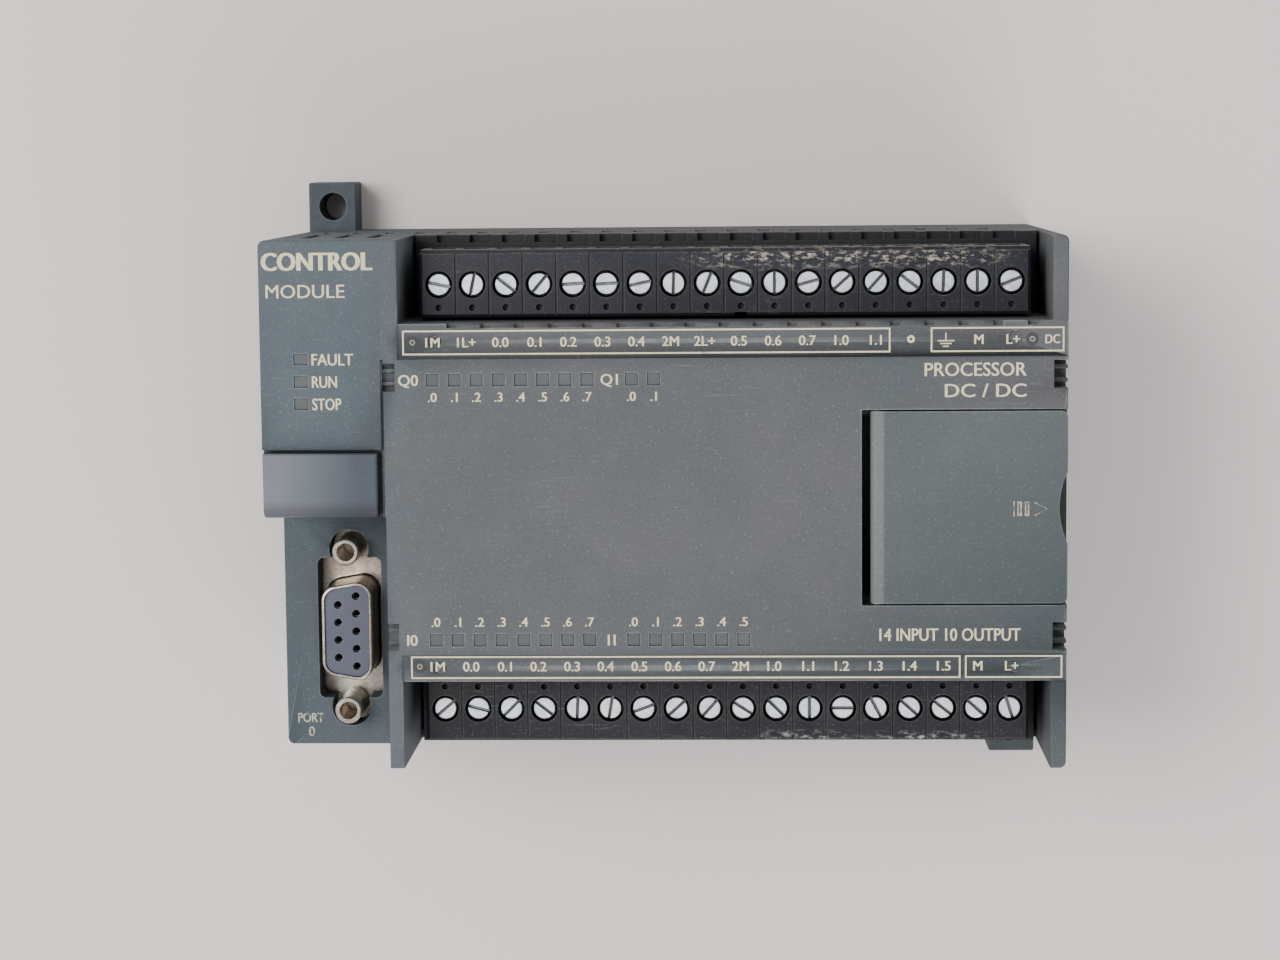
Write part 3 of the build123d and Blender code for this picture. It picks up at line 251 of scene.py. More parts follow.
def blend_colours(tree, share, first, second):
    """Goes from the first colour to the second as the share goes from 0 to 1."""
    node = tree.nodes.new("ShaderNodeMix")
    node.data_type = "RGBA"
    tree.links.new(share, node.inputs["Factor"])
    for socket, colour in ((node.inputs[6], first), (node.inputs[7], second)):
        if isinstance(colour, tuple):
            socket.default_value = colour
        else:
            tree.links.new(colour, socket)
    return node.outputs[2]


# %% [markdown]
# ## Finding edges and corners
#
# Plastic rubs pale on its outer edges, and its inner corners take dirt and painted shade. The Bevel node
# gives the direction a surface would face if its edges were rounded. Where that differs from the real
# direction, there is an edge. Ambient Occlusion is dark in inner corners, so it tells which it is.

# %% Edge and corner masks
def edge_masks(tree, radius, corner_reach):
    """Two masks from 0 to 1: outer edges within a radius, and how open the place is."""
    rounded = tree.nodes.new("ShaderNodeBevel")
    rounded.samples = 4
    rounded.inputs["Radius"].default_value = radius
    surface = tree.nodes.new("ShaderNodeNewGeometry")
    compare = tree.nodes.new("ShaderNodeVectorMath")
    compare.operation = "DOT_PRODUCT"
    tree.links.new(rounded.outputs["Normal"], compare.inputs[0])
    tree.links.new(surface.outputs["Normal"], compare.inputs[1])
    sharp = spread(tree, compare.outputs["Value"], 0.985, 0.80)
    corners = tree.nodes.new("ShaderNodeAmbientOcclusion")
    corners.samples = 4
    corners.inputs["Distance"].default_value = corner_reach
    openness = corners.outputs["AO"]
    outer = combine(tree, "MULTIPLY", sharp, spread(tree, openness, 0.55, 0.85))
    return outer, openness


def add_relief(tree, shader, height, depth, edge_radius=0.0):
    """Raises a height pattern on the surface by a depth in metres, over softly rounded edges."""
    bump = tree.nodes.new("ShaderNodeBump")
    bump.inputs["Strength"].default_value = 1.0
    bump.inputs["Distance"].default_value = depth
    tree.links.new(height, bump.inputs["Height"])
    if edge_radius:
        rounded = tree.nodes.new("ShaderNodeBevel")
        rounded.samples = 4
        rounded.inputs["Radius"].default_value = edge_radius
        tree.links.new(rounded.outputs["Normal"], bump.inputs["Normal"])
    tree.links.new(bump.outputs["Normal"], shader.inputs["Normal"])


def dress(material, *names):
    """Puts a finish into every material slot of the named pieces."""
    for name in names:
        piece = nodes.get(name) or bpy.data.objects[name]
        if not piece.data.materials:
            piece.data.materials.append(material)
        for slot in piece.material_slots:
            slot.material = material
    print(material.name, "on", ", ".join(names))


# %% [markdown]
# ## Moulded plastic
#
# One recipe serves every moulded part: a mottle between two tones, faint rubbing scratches, fine
# mould grain, pale edges, and corners darkened with dust and painted shade. Only the numbers change from
# part to part.

# %% The moulded plastic recipe
EDGE_REACH = 0.35 * MM
CORNER_REACH = 1.6 * MM
SOFT_EDGE = 0.22 * MM


def moulded(name, deep, pale, edge, dust_and_shade_colour, matt=0.62, wear=0.7, grain=0.00002, speckle=0.10):
    """A plastic finish in node colours. Matt is the roughness, and wear is how pale the edges are."""
    material, tree, shader, place = start_finish(name)
    mottle = spread(tree, clouds(tree, place, 38, 6, 0.6), 0.32, 0.68)
    tone = blend_colours(tree, mottle, deep, pale)
    fine = clouds(tree, place, 2600, 3, 0.6)
    flecks = spread(tree, fine, 0.58, 0.78, 0.0, speckle * 2.5)
    tone = blend_colours(tree, flecks, tone, edge)
    rubs = clouds(tree, stretched(tree, place, (1, 14, 14), (0, 0, 0.35)), 160, 5, 0.65)
    patches = spread(tree, clouds(tree, place, 70, 3), 0.45, 0.7)
    rubbed = combine(tree, "MULTIPLY", spread(tree, rubs, 0.60, 0.74, 0.0, 0.30), patches)
    tone = blend_colours(tree, rubbed, tone, edge)
    outer, openness = edge_masks(tree, EDGE_REACH, CORNER_REACH)
    broken = spread(tree, clouds(tree, place, 420, 4, 0.7), 0.30, 0.62, 0.25, 1.0)
    worn = combine(tree, "MULTIPLY", combine(tree, "MULTIPLY", outer, broken), wear)
    tone = blend_colours(tree, worn, tone, edge)
    # Inner corners, found by occlusion, darken with dust and painted shade.
    corner_dust_and_shade = spread(tree, openness, 0.75, 0.25, 0.0, 0.55)
    tone = blend_colours(tree, corner_dust_and_shade, tone, dust_and_shade_colour)
    tree.links.new(tone, shader.inputs["Base Color"])
    gloss = spread(tree, clouds(tree, place, 220, 4), 0.3, 0.7, matt + 0.07, matt - 0.07)
    tree.links.new(gloss, shader.inputs["Roughness"])
    shader.inputs["Specular IOR Level"].default_value = 0.30
    add_relief(tree, shader, fine, grain, SOFT_EDGE)
    return material


# %% [markdown]
# Some places are darker or lighter than others for a reason that noise doesn't know. Most tints here are
# painted light:
# shade where the light falls off or a surface lies deeper, and a painted highlight or reflection. A tint
# that comes in along a direction does that.

# %% A tint along a direction
def tint_along(material, direction, start, stop, tint):
    """Multiplies a finish by a tint, from none at the start to all at the stop, in metres."""
    tree = material.node_tree
    shader = tree.nodes["Principled BSDF"]
    along = tree.nodes.new("ShaderNodeVectorMath")
    along.operation = "DOT_PRODUCT"
    along.inputs[1].default_value = direction
    tree.links.new(tree.nodes.new("ShaderNodeTexCoord").outputs["Object"], along.inputs[0])
    before = shader.inputs["Base Color"].links[0].from_socket
    mix = tree.nodes.new("ShaderNodeMix")
    mix.data_type = "RGBA"
    mix.blend_type = "MULTIPLY"
    tree.links.new(spread(tree, along.outputs["Value"], start, stop), mix.inputs["Factor"])
    tree.links.new(before, mix.inputs[6])
    mix.inputs[7].default_value = (*tint, 1)
    tree.links.new(mix.outputs[2], shader.inputs["Base Color"])


# %% [markdown]
# ### The housing
#
# The two shells and the door are one dark grey, slightly green, with a matt spark-eroded grain.
# Years of handling have polished the panel's rim and the cheeks to pale lines. A lighter base
# colour with a glossier surface would look new, so the roughness stays high.

# %% Housing grey
housing_grey = moulded(
    "housing_grey",
    deep=colour_of(77, 82, 85),
    pale=colour_of(88, 87, 89),
    edge=colour_of(168, 174, 172),
    dust_and_shade_colour=colour_of(60, 55, 46),
    matt=0.72,
    wear=0.75,
)
to_lower_right = (1, -1.5, 0)
# The left column is bluer than the panel.
tint_along(housing_grey, (-1, 0, 0), 0.034, 0.047, (0.90, 1.06, 1.15))
# Painted shade: the panel and the door darken towards the lower right, where the light falls off, and
# the last cheek is lifted paler again.
tint_along(housing_grey, to_lower_right, 0.025, 0.085, (0.68, 0.74, 0.75))
tint_along(housing_grey, to_lower_right, 0.103, 0.112, (1.20, 1.18, 1.13))
# Painted shade: what lies deeper than the panel is darker.
tint_along(housing_grey, (0, 0, -1), -0.052, -0.042, (0.74, 0.76, 0.76))
dress(housing_grey, "front_moulding", "rear_housing", *MOULDING)

door_grey = moulded(
    "door_grey",
    deep=colour_of(74, 82, 84),
    pale=colour_of(83, 88, 90),
    edge=colour_of(165, 172, 172),
    dust_and_shade_colour=colour_of(58, 55, 49),
    matt=0.60,
    wear=0.6,
)
# Painted shade: the door darkens towards the lower right, where the light falls off.
tint_along(door_grey, to_lower_right, 0.030, 0.085, (0.60, 0.64, 0.64))
# A painted highlight: the door's rounded barrel, two millimetres wide at its left edge, is paler where
# it catches the light.
barrel_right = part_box("access_door")[0].x + 2 * MM
barrel_start = -barrel_right - 0.2 * MM
barrel_stop = -barrel_right + 0.3 * MM
tint_along(door_grey, (-1, 0, 0), barrel_start, barrel_stop, (1.75, 1.62, 1.55))
dress(door_grey, "access_door")

# %% [markdown]
# ### The cartridge cover
#
# This little lid was moulded in another batch: bluer, smoother and a little glossy. A painted reflection
# leaves it lighter on the left and darker towards the panel.

# %% Cover blue grey
cover_blue_grey = moulded(
    "cover_blue_grey",
    deep=colour_of(98, 103, 109),
    pale=colour_of(108, 113, 119),
    edge=colour_of(172, 178, 186),
    dust_and_shade_colour=colour_of(60, 56, 50),
    matt=0.40,
    wear=0.45,
    grain=0.000006,
    speckle=0.04,
)
# Painted reflection: it is darker towards the panel. Painted shade darkens its rounded lower lip.
tint_along(cover_blue_grey, (1, 0, 0), -0.058, -0.046, (0.38, 0.41, 0.46))
tint_along(cover_blue_grey, (0, -1, 0), -0.0012, 0.0006, (0.62, 0.60, 0.60))
dress(cover_blue_grey, "cartridge_cover")

# %% [markdown]
# ### Terminal blocks
#
# The plug-off blocks are a darker, harder plastic with a blue tint and a satin surface. Wires,
# screwdrivers and paint have left whitish scuffs along their outer edges, mostly at the right end.
# The scuffs need their own mask: a place along the block times torn, stretched noise.

# %% Black terminal plastic with scuffs
def scuffed_black(name, deep, pale, scuff, scuffs, strength):
    """Terminal plastic. Each scuff is (left, right, low, high) in metres on the piece."""
    material = moulded(
        name,
        deep,
        pale,
        edge=scuff,
        dust_and_shade_colour=colour_of(26, 25, 24),
        matt=0.42,
        wear=0.16,
        grain=0.000008,
        speckle=0.04,
    )
    tree = material.node_tree
    shader = tree.nodes["Principled BSDF"]
    place = tree.nodes.new("ShaderNodeTexCoord").outputs["Object"]
    split = tree.nodes.new("ShaderNodeSeparateXYZ")
    tree.links.new(place, split.inputs["Vector"])
    area = None
    for left, right, low, high in scuffs:
        mask = None
        for axis, soft, start, stop in (("X", 4 * MM, left, right), ("Y", 0.9 * MM, low, high)):
            value = split.outputs[axis]
            for border, inward in ((start, soft), (stop, -soft)):
                side = spread(tree, value, border - inward, border + inward)
                mask = side if mask is None else combine(tree, "MULTIPLY", mask, side)
        area = mask if area is None else combine(tree, "MAXIMUM", area, mask)
    torn = clouds(tree, stretched(tree, place, (0.6, 1.3, 1), (0, 0, 0.5)), 1100, 7, 0.72)
    torn = combine(tree, "MULTIPLY", spread(tree, torn, 0.51, 0.64, 0.0, strength), area)
    before = shader.inputs["Base Color"].links[0].from_socket
    tone = blend_colours(tree, torn, before, scuff)
    tree.links.new(tone, shader.inputs["Base Color"])
    return material


# %% Dress the blocks and their headers
upper_black = scuffed_black(
    "terminal_black_upper",
    colour_of(28, 29, 37),
    colour_of(38, 39, 48),
    colour_of(192, 182, 166),
    [(0.006, 0.050, 0.0356, 0.0380), (0.014, 0.020, 0.0350, 0.0382)],
    0.90,
)
dress(upper_black, "upper_terminal_block")
lower_black = scuffed_black(
    "terminal_black_lower",
    colour_of(21, 20, 25),
    colour_of(31, 30, 35),
    colour_of(196, 192, 188),
    [(0.016, 0.026, -0.0376, -0.0362), (0.033, 0.046, -0.0376, -0.0364)],
    0.95,
)
dress(lower_black, "lower_terminal_block")

header_black = moulded(
    "header_black",
    deep=colour_of(22, 23, 27),
    pale=colour_of(31, 32, 37),
    edge=colour_of(96, 98, 104),
    dust_and_shade_colour=colour_of(24, 23, 22),
    matt=0.5,
    wear=0.5,
)
dress(header_black, "upper_pin_header", "lower_pin_header")

# %% [markdown]
# ## Metals
#
# Zinc-plated screws are bright and a little milky, with fine turning marks and a few dark scrapes
# from the screwdriver. The port's shell is nickel, warmer and smoother. A metal takes almost all
# its look from what it mirrors, so the roughness pattern matters more than the colour.

# %% The bare metal recipe
def bare_metal(name, clean, stained, smooth, rough, scratch_depth=0.000012, edge_radius=0.00012):
    """A metal finish, between a clean and a stained colour, and between two roughnesses."""
    material, tree, shader, place = start_finish(name)
    stains = spread(tree, clouds(tree, place, 700, 5, 0.65), 0.38, 0.66)
    tone = blend_colours(tree, stains, clean, stained)
    hue = tree.nodes.new("ShaderNodeTexNoise")
    hue.inputs["Scale"].default_value = 170
    tree.links.new(place, hue.inputs["Vector"])
    cool, warm = (0.90, 0.97, 1, 1), (1, 0.94, 0.96, 1)
    tint = blend_colours(tree, spread(tree, hue.outputs["Fac"], 0.42, 0.58), cool, warm)
    tinted = tree.nodes.new("ShaderNodeMix")
    tinted.data_type = "RGBA"
    tinted.blend_type = "MULTIPLY"
    tinted.inputs["Factor"].default_value = 1.0
    tree.links.new(tone, tinted.inputs[6])
    tree.links.new(tint, tinted.inputs[7])
    scrapes = clouds(tree, stretched(tree, place, (1, 7, 1), (0, 0, -0.6)), 1300, 5, 0.7)
    scraped = spread(tree, scrapes, 0.57, 0.72, 0.0, 0.6)
    tone = blend_colours(tree, scraped, tinted.outputs[2], colour_of(96, 96, 100))
    # Slots and inner corners, found by occlusion, darken with grime and painted shade.
    corners = tree.nodes.new("ShaderNodeAmbientOcclusion")
    corners.samples = 4
    corners.inputs["Distance"].default_value = 0.0009
    grime_and_shade = spread(tree, corners.outputs["AO"], 0.82, 0.35, 0.0, 0.9)
    tone = blend_colours(tree, grime_and_shade, tone, colour_of(46, 44, 44))
    tree.links.new(tone, shader.inputs["Base Color"])
    marks = clouds(tree, stretched(tree, place, (1, 12, 4), (0, 0, 0.7)), 900, 4, 0.6)
    tree.links.new(spread(tree, marks, 0.3, 0.7, smooth, rough), shader.inputs["Roughness"])
    shader.inputs["Metallic"].default_value = 1.0
    add_relief(tree, shader, marks, scratch_depth, edge_radius)
    return material


# %% Dress the metal parts
zinc_plated = bare_metal("zinc_plated", colour_of(244, 246, 250), colour_of(214, 216, 222), 0.34, 0.62)
dress(zinc_plated, "upper_terminal_screws", "lower_terminal_screws", "board_screws")
clamp_zinc = bare_metal("clamp_zinc", colour_of(190, 186, 172), colour_of(150, 144, 128), 0.30, 0.5)
dress(clamp_zinc, "upper_wire_clamps", "lower_wire_clamps")
nickel_shell = bare_metal("nickel_shell", colour_of(206, 195, 180), colour_of(170, 158, 142), 0.20, 0.42)
dress(nickel_shell, "dsub_shell", "dsub_jacks")
contact_tin = bare_metal("contact_tin", colour_of(200, 202, 204), colour_of(170, 172, 172), 0.25, 0.45)
dress(contact_tin, "upper_block_contacts", "lower_block_contacts")
dress(contact_tin, "dsub_contacts", "cartridge_contacts")
pin_brass = bare_metal("pin_brass", colour_of(214, 186, 120), colour_of(180, 150, 90), 0.2, 0.4)
dress(pin_brass, "upper_header_pins", "lower_header_pins", "expansion_pins")

# %% [markdown]
# ## Port insert and lamp windows
#
# The port's insulator is a smooth blue-grey thermoplastic. The lamp windows are cloudy, slightly
# lighter than the housing and nearly level with it: they are seen mostly by their thin outlines.
# They could be clear, but an unlit lamp behind a smoked window looks grey, so a milky plastic with
# a little transmission is closer.

# %% Port plastic and windows
port_plastic = moulded(
    "port_plastic",
    deep=colour_of(76, 80, 92),
    pale=colour_of(92, 96, 108),
    edge=colour_of(160, 166, 180),
    dust_and_shade_colour=colour_of(50, 50, 54),
    matt=0.40,
    wear=0.4,
    grain=0.000005,
    speckle=0.03,
)
dress(port_plastic, "dsub_insulator")


def window_plastic(name, deep, pale):
    """A smoked window: smooth, cloudy, with a coat that keeps a sharp highlight."""
    material = moulded(
        name,
        deep,
        pale,
        edge=colour_of(150, 156, 156),
        dust_and_shade_colour=colour_of(52, 50, 46),
        matt=0.30,
        wear=0.5,
        grain=0.000003,
        speckle=0.02,
    )
    shader = material.node_tree.nodes["Principled BSDF"]
    shader.inputs["Transmission Weight"].default_value = 0.12
    shader.inputs["Coat Weight"].default_value = 0.3
    shader.inputs["Coat Roughness"].default_value = 0.15
    return material


lamp_grey = window_plastic("lamp_grey", colour_of(78, 83, 84), colour_of(94, 98, 98))
dress(lamp_grey, "output_lenses", "input_lenses", "status_lenses")
led_clear = window_plastic("led_clear", colour_of(180, 184, 176), colour_of(206, 208, 198))
dress(led_clear, "output_leds", "input_leds", "status_leds")

# %% [markdown]
# ## Parts behind the door and inside
#
# With the door open a switch, two trimmers and a bus connector show. Deeper down are the boards
# and their larger parts. They get the same two recipes with their own colours, so that every pose
# and every cut through the module looks finished.

# %% Plastics of the small parts
connector_black = moulded(
    "connector_black",
    colour_of(30, 31, 33),
    colour_of(40, 41, 43),
    colour_of(92, 94, 96),
    colour_of(20, 20, 20),
    matt=0.45,
)
dress(connector_black, "expansion_connector", "cartridge_socket")
dress(connector_black, "board_connectors", "mode_switch_body")

chip_black = moulded(
    "chip_black",
    colour_of(28, 28, 30),
    colour_of(38, 38, 40),
    colour_of(80, 80, 82),
    colour_of(18, 18, 18),
    matt=0.55,
)
dress(chip_black, "processor", "memory_chips", "output_drivers", "power_transistors")

clip_grey = moulded(
    "clip_grey",
    colour_of(64, 68, 70),
    colour_of(76, 80, 82),
    colour_of(140, 146, 146),
    colour_of(40, 38, 34),
    matt=0.5,
)
dress(clip_grey, "din_clip")

white_plastic = moulded(
    "white_plastic",
    colour_of(206, 203, 192),
    colour_of(222, 220, 210),
    colour_of(238, 236, 230),
    colour_of(130, 124, 110),
    matt=0.45,
    wear=0.3,
)
dress(white_plastic, "mode_switch_lever", "board_spacers", "input_couplers")
dress(white_plastic, "trimmer_rotor_0", "trimmer_rotor_1")

trimmer_blue = moulded(
    "trimmer_blue",
    colour_of(38, 74, 132),
    colour_of(48, 88, 150),
    colour_of(110, 140, 190),
    colour_of(24, 34, 56),
    matt=0.4,
    wear=0.3,
)
dress(trimmer_blue, "trimmer_bodies")

# %% [markdown]
# ### Boards and power parts
#
# A circuit board is glass cloth under green lacquer. Under the lacquer the cloth shows as a fine
# weave, which two crossed bands of waves give. The capacitors wear a dark sleeve and the coils a
# grey ferrite, which is matt and slightly porous.

# %% Board lacquer
def board_lacquer(name, deep, pale):
    """Green solder lacquer over glass cloth."""
    material, tree, shader, place = start_finish(name)
    weave = []
    for direction in ("X", "Y"):
        band = tree.nodes.new("ShaderNodeTexWave")
        band.bands_direction = direction
        band.inputs["Scale"].default_value = 420
        band.inputs["Distortion"].default_value = 0.6
        tree.links.new(place, band.inputs["Vector"])
        weave.append(band.outputs["Fac"])
    cloth = combine(tree, "MULTIPLY", weave[0], weave[1])
    pools = combine(tree, "ADD", spread(tree, cloth, 0, 1, 0, 0.35), clouds(tree, place, 90, 4))
    tone = blend_colours(tree, spread(tree, pools, 0.3, 1.0), deep, pale)
    tree.links.new(tone, shader.inputs["Base Color"])
    gloss = spread(tree, clouds(tree, place, 300), 0.3, 0.7, 0.22, 0.38)
    tree.links.new(gloss, shader.inputs["Roughness"])
    add_relief(tree, shader, cloth, 0.00001)
    return material


board_green = board_lacquer("board_green", colour_of(20, 70, 44), colour_of(38, 104, 66))
dress(board_green, "power_board", "io_board", "cpu_board")

capacitor_sleeve = moulded(
    "capacitor_sleeve",
    colour_of(26, 30, 52),
    colour_of(34, 40, 66),
    colour_of(120, 124, 140),
    colour_of(16, 16, 24),
    matt=0.3,
    wear=0.3,
)
dress(capacitor_sleeve, "bulk_capacitors", "backup_capacitor")

ferrite_grey = moulded(
    "ferrite_grey",
    colour_of(54, 54, 56),
    colour_of(70, 70, 72),
    colour_of(120, 120, 122),
    colour_of(34, 33, 32),
    matt=0.75,
    grain=0.00004,
)
dress(ferrite_grey, "transformer", "power_inductor")
fuse_metal = bare_metal("fuse_metal", colour_of(208, 206, 198), colour_of(176, 172, 160), 0.2, 0.4)
dress(fuse_metal, "fuse")

# %% [markdown]
# ## The printing
#
# Numbers and words are pad-printed in cream ink. Ink has a thickness of a few hundredths of a
# millimetre, so each letter here is a thin closed solid and not a picture. Text objects could be
# left as they are, but joined into one mesh they are one piece that rides with the module.
#
# The ink is a little uneven, and here and there it has rubbed away to the plastic.

# %% Printing ink
def printing_ink(name, full, thin, lost, share_lost):
    """Matt ink with thin places. share_lost says how readily the plastic shows through."""
    material, tree, shader, place = start_finish(name)
    tone = blend_colours(tree, spread(tree, clouds(tree, place, 1500, 4), 0.3, 0.7), full, thin)
    gone = clouds(tree, place, 800, 6, 0.7)
    bare = spread(tree, gone, 0.74 - share_lost, 0.86 - share_lost)
    tone = blend_colours(tree, bare, tone, lost)
    tree.links.new(tone, shader.inputs["Base Color"])
    tree.links.new(spread(tree, gone, 0.3, 0.7, 0.5, 0.75), shader.inputs["Roughness"])
    add_relief(tree, shader, clouds(tree, place, 4000, 2), 0.000004)
    return material


cream_ink = printing_ink(
    "cream_ink",
    full=colour_of(232, 218, 178),
    thin=colour_of(206, 194, 162),
    lost=colour_of(112, 112, 104),
    share_lost=0.12,
)
worn_ink = printing_ink(
    "worn_ink",
    full=colour_of(190, 184, 160),
    thin=colour_of(160, 158, 140),
    lost=colour_of(100, 106, 104),
    share_lost=0.26,
)

# %% Solids of ink
INK = 0.03 * MM
CIRCLE_SIDES = 24


def circle(x, y, radius):
    """The corners of a round outline."""
    turns = [2 * math.pi * k / CIRCLE_SIDES for k in range(CIRCLE_SIDES)]
    return [(x + radius * math.cos(a), y + radius * math.sin(a)) for a in turns]


def rectangle(left, right, low, high, grow):
    """The four corners of a rectangle that is moved outwards on every side."""
    left, right = left - grow, right + grow
    low, high = low - grow, high + grow
    return [(left, low), (right, low), (right, high), (left, high)]


class InkSheet:
    """Collects the corners and faces of many small solids, and makes one mesh of them."""

    def __init__(self):
        self.corners = []
        self.faces = []

    def add(self, corners, faces):
        start = len(self.corners)
        self.corners.extend(corners)
        self.faces.extend([tuple(start + index for index in face) for face in faces])

    def bar(self, left, right, low, high, base):
        """A flat block of ink, from a base height up. Lengths are in millimetres."""
        x0, x1, y0, y1, z0 = (value * MM for value in (left, right, low, high, base))
        z1 = z0 + INK
        corners = [(x, y, z) for z in (z0, z1) for x, y in ((x0, y0), (x1, y0), (x1, y1), (x0, y1))]
        sides = [(0, 1, 5, 4), (1, 2, 6, 5), (2, 3, 7, 6), (3, 0, 4, 7)]
        self.add(corners, [(3, 2, 1, 0), (4, 5, 6, 7)] + sides)

    def loop(self, outer, inner, base):
        """A closed band of ink between an outer and an inner outline with as many points."""
        count = len(outer)
        levels = (base * MM, base * MM + INK)
        corners = [(x * MM, y * MM, z) for z in levels for line in (outer, inner) for x, y in line]
        faces = []
        for i in range(count):
            j = (i + 1) % count
            low_out, low_in, top_out, top_in = (k * count for k in range(4))
            faces.append((low_out + i, low_out + j, top_out + j, top_out + i))
            faces.append((low_in + j, low_in + i, top_in + i, top_in + j))
            faces.append((top_out + i, top_out + j, top_in + j, top_in + i))
            faces.append((low_out + j, low_out + i, low_in + i, low_in + j))
        self.add(corners, faces)

    def frame(self, left, right, low, high, line, base):
        """A rectangle drawn with a line of one width."""
        outer = rectangle(left, right, low, high, line / 2)
        inner = rectangle(left, right, low, high, -line / 2)
        self.loop(outer, inner, base)

    def ring(self, x, y, outer_radius, inner_radius, base):
        """A round band."""
        self.loop(circle(x, y, outer_radius), circle(x, y, inner_radius), base)

    def plate(self, outline, base, thickness=1.0):
        """A flat shape with a convex outline. Its thickness is a share of the ink's."""
        count = len(outline)
        levels = (base * MM, base * MM + INK * thickness)
        corners = [(x * MM, y * MM, z) for z in levels for x, y in outline]
        bottom = tuple(reversed(range(count)))
        top = tuple(range(count, 2 * count))
        sides = []
        for k in range(count):
            after = (k + 1) % count
            sides.append((k, after, count + after, count + k))
        self.add(corners, [bottom, top] + sides)

    def word(self, words, x, y, height, base, width=None, bold=0.04):
        """A word centred at x, y with a capital height, squeezed to a width if one is given.

        Bold is in millimetres: the word is laid down again that far to each side, a little lower.
        """
        curve = bpy.data.curves.new("word", "FONT")
        curve.body = words
        curve.size = 1.0
        curve.resolution_u = 3
        curve.extrude = 0.5
        holder = bpy.data.objects.new("word", curve)
        mesh = bpy.data.meshes.new_from_object(holder)
        xs = [v.co.x for v in mesh.vertices]
        capital = 0.70  # the height of a capital in a text of size 1
        size = height / capital
        middle = (min(xs) + max(xs)) / 2
        squeeze = size if width is None else width / (max(xs) - min(xs))
        for shift, thickness in ((0, 1.0), (-bold, 0.9), (bold, 0.8)):
            corners = [
                (
                    (x + shift + (v.co.x - middle) * squeeze) * MM,
                    (y + (v.co.y - capital / 2) * size) * MM,
                    base * MM + (v.co.z + 0.5) * INK * thickness,
                )
                for v in mesh.vertices
            ]
            self.add(corners, [tuple(p.vertices) for p in mesh.polygons])
        bpy.data.objects.remove(holder)
        bpy.data.curves.remove(curve)
        bpy.data.meshes.remove(mesh)

    def make(self, name, material, body):
        """One mesh piece with its ink, riding on a body."""
        mesh = bpy.data.meshes.new(name)
        mesh.from_pydata(self.corners, [], self.faces)
        mesh.materials.append(material)
        mesh.update()
        piece = bpy.data.objects.new(name, mesh)
        bpy.context.scene.collection.objects.link(piece)
        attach(piece, body)
        print(name, "has", len(self.faces), "faces")


# %% [markdown]
# ### Where the numbers go
#
# Each number belongs to a screw or a lamp. So the places are read from the CAD: the screws and
# windows of a node lie in a row, and a gap in the sorted face centres parts one from the next.

# %% Places of screws and lamps along a node
def places_along(name, axis, gap=1.0):
    """Centres, in millimetres, of the pieces of a node that lie in a row along an axis."""
    values = sorted(face.center[axis] / MM for face in nodes[name].data.polygons)
    runs = [[values[0], values[0]]]
    for value in values:
        if value - runs[-1][1] > gap:
            runs.append([value, value])
        runs[-1][1] = value
    return [(low + high) / 2 for low, high in runs]


poles = places_along("upper_terminal_screws", 0)
output_lamps = places_along("output_lenses", 0)
input_lamps = places_along("input_lenses", 0)
status_lamps = sorted(places_along("status_lenses", 1), reverse=True)
print(len(poles), "poles,", len(output_lamps), "output lamps,", len(input_lamps), "input lamps")

# %% [markdown]
# ### The two label strips
#
# The strips lie a little below the panel. Each has a thin frame round a group of terminals. The
# signs are the usual ones: M for a common, L+ for the supply, and the earth sign.

# %% Print the strips
strip_z = 61.6
strip_text = 1.46
sign_shift = -0.3
upper_y, lower_y = 24.62, -24.40
# A dash stands for a pole without a word: the 15th has none, and the 16th has the earth sign.
upper_signs = "1M 1L+ 0.0 0.1 0.2 0.3 0.4 2M 2L+ 0.5 0.6 0.7 1.0 1.1 - - M L+".split()
lower_signs = "1M 0.0 0.1 0.2 0.3 0.4 0.5 0.6 0.7 2M 1.0 1.1 1.2 1.3 1.4 1.5 M L+".split()
print_sheet = InkSheet()
for x, upper, lower in zip(poles, upper_signs, lower_signs):
    if upper != "-":
        print_sheet.word(upper, x + sign_shift, upper_y, strip_text, strip_z)
    print_sheet.word(lower, x + sign_shift, lower_y, strip_text, strip_z)
print_sheet.word("DC", 57.9, upper_y, 1.35, strip_z, width=2.1)

frame_line = 0.24
upper_frame, lower_frame = (22.85, 26.3), (-26.15, -22.95)
for left, right in ((-38.7, 33.8), (40.0, 59.5)):
    print_sheet.frame(left, right, *upper_frame, frame_line, strip_z)
for left, right in ((-38.2, 44.3), (45.2, 59.5)):
    print_sheet.frame(left, right, *lower_frame, frame_line, strip_z)
print_sheet.ring(36.96, 24.69, 0.58, 0.22, strip_z)

earth_x = poles[15] - 0.1
half_line = 0.09
print_sheet.bar(earth_x - half_line, earth_x + half_line, 24.5, 25.6, strip_z)
for half, y in ((1.25, 24.42), (0.85, 24.0), (0.45, 23.58)):
    print_sheet.bar(earth_x - half, earth_x + half, y - half_line, y + half_line, strip_z)

# %% Print the lamp numbers and the panel's words
panel_z = 62.0
lamp_text, group_text = 1.38, 1.65
lamps_in_group = 8
lamp_rows = (
    ("Q", output_lamps, 19.0, 16.44),
    ("I", input_lamps, -20.3, -17.54),
)
for letter, lamps, row_y, number_y in lamp_rows:
    for k, x in enumerate(lamps):
        print_sheet.word("." + str(k % lamps_in_group), x, number_y, lamp_text, panel_z)
    for digit, x in (("0", lamps[0] - 3.6), ("1", lamps[lamps_in_group] - 3.3)):
        print_sheet.word(letter + digit, x, row_y, group_text, panel_z)
print_sheet.word("PROCESSOR", 46.5, 20.2, 2.0, panel_z, width=15.0)
print_sheet.word("DC / DC", 48.0, 17.05, 2.0, panel_z, width=12.0)
print_sheet.word("14 INPUT 10 OUTPUT", 42.8, -19.6, 1.9, panel_z, width=21.0)

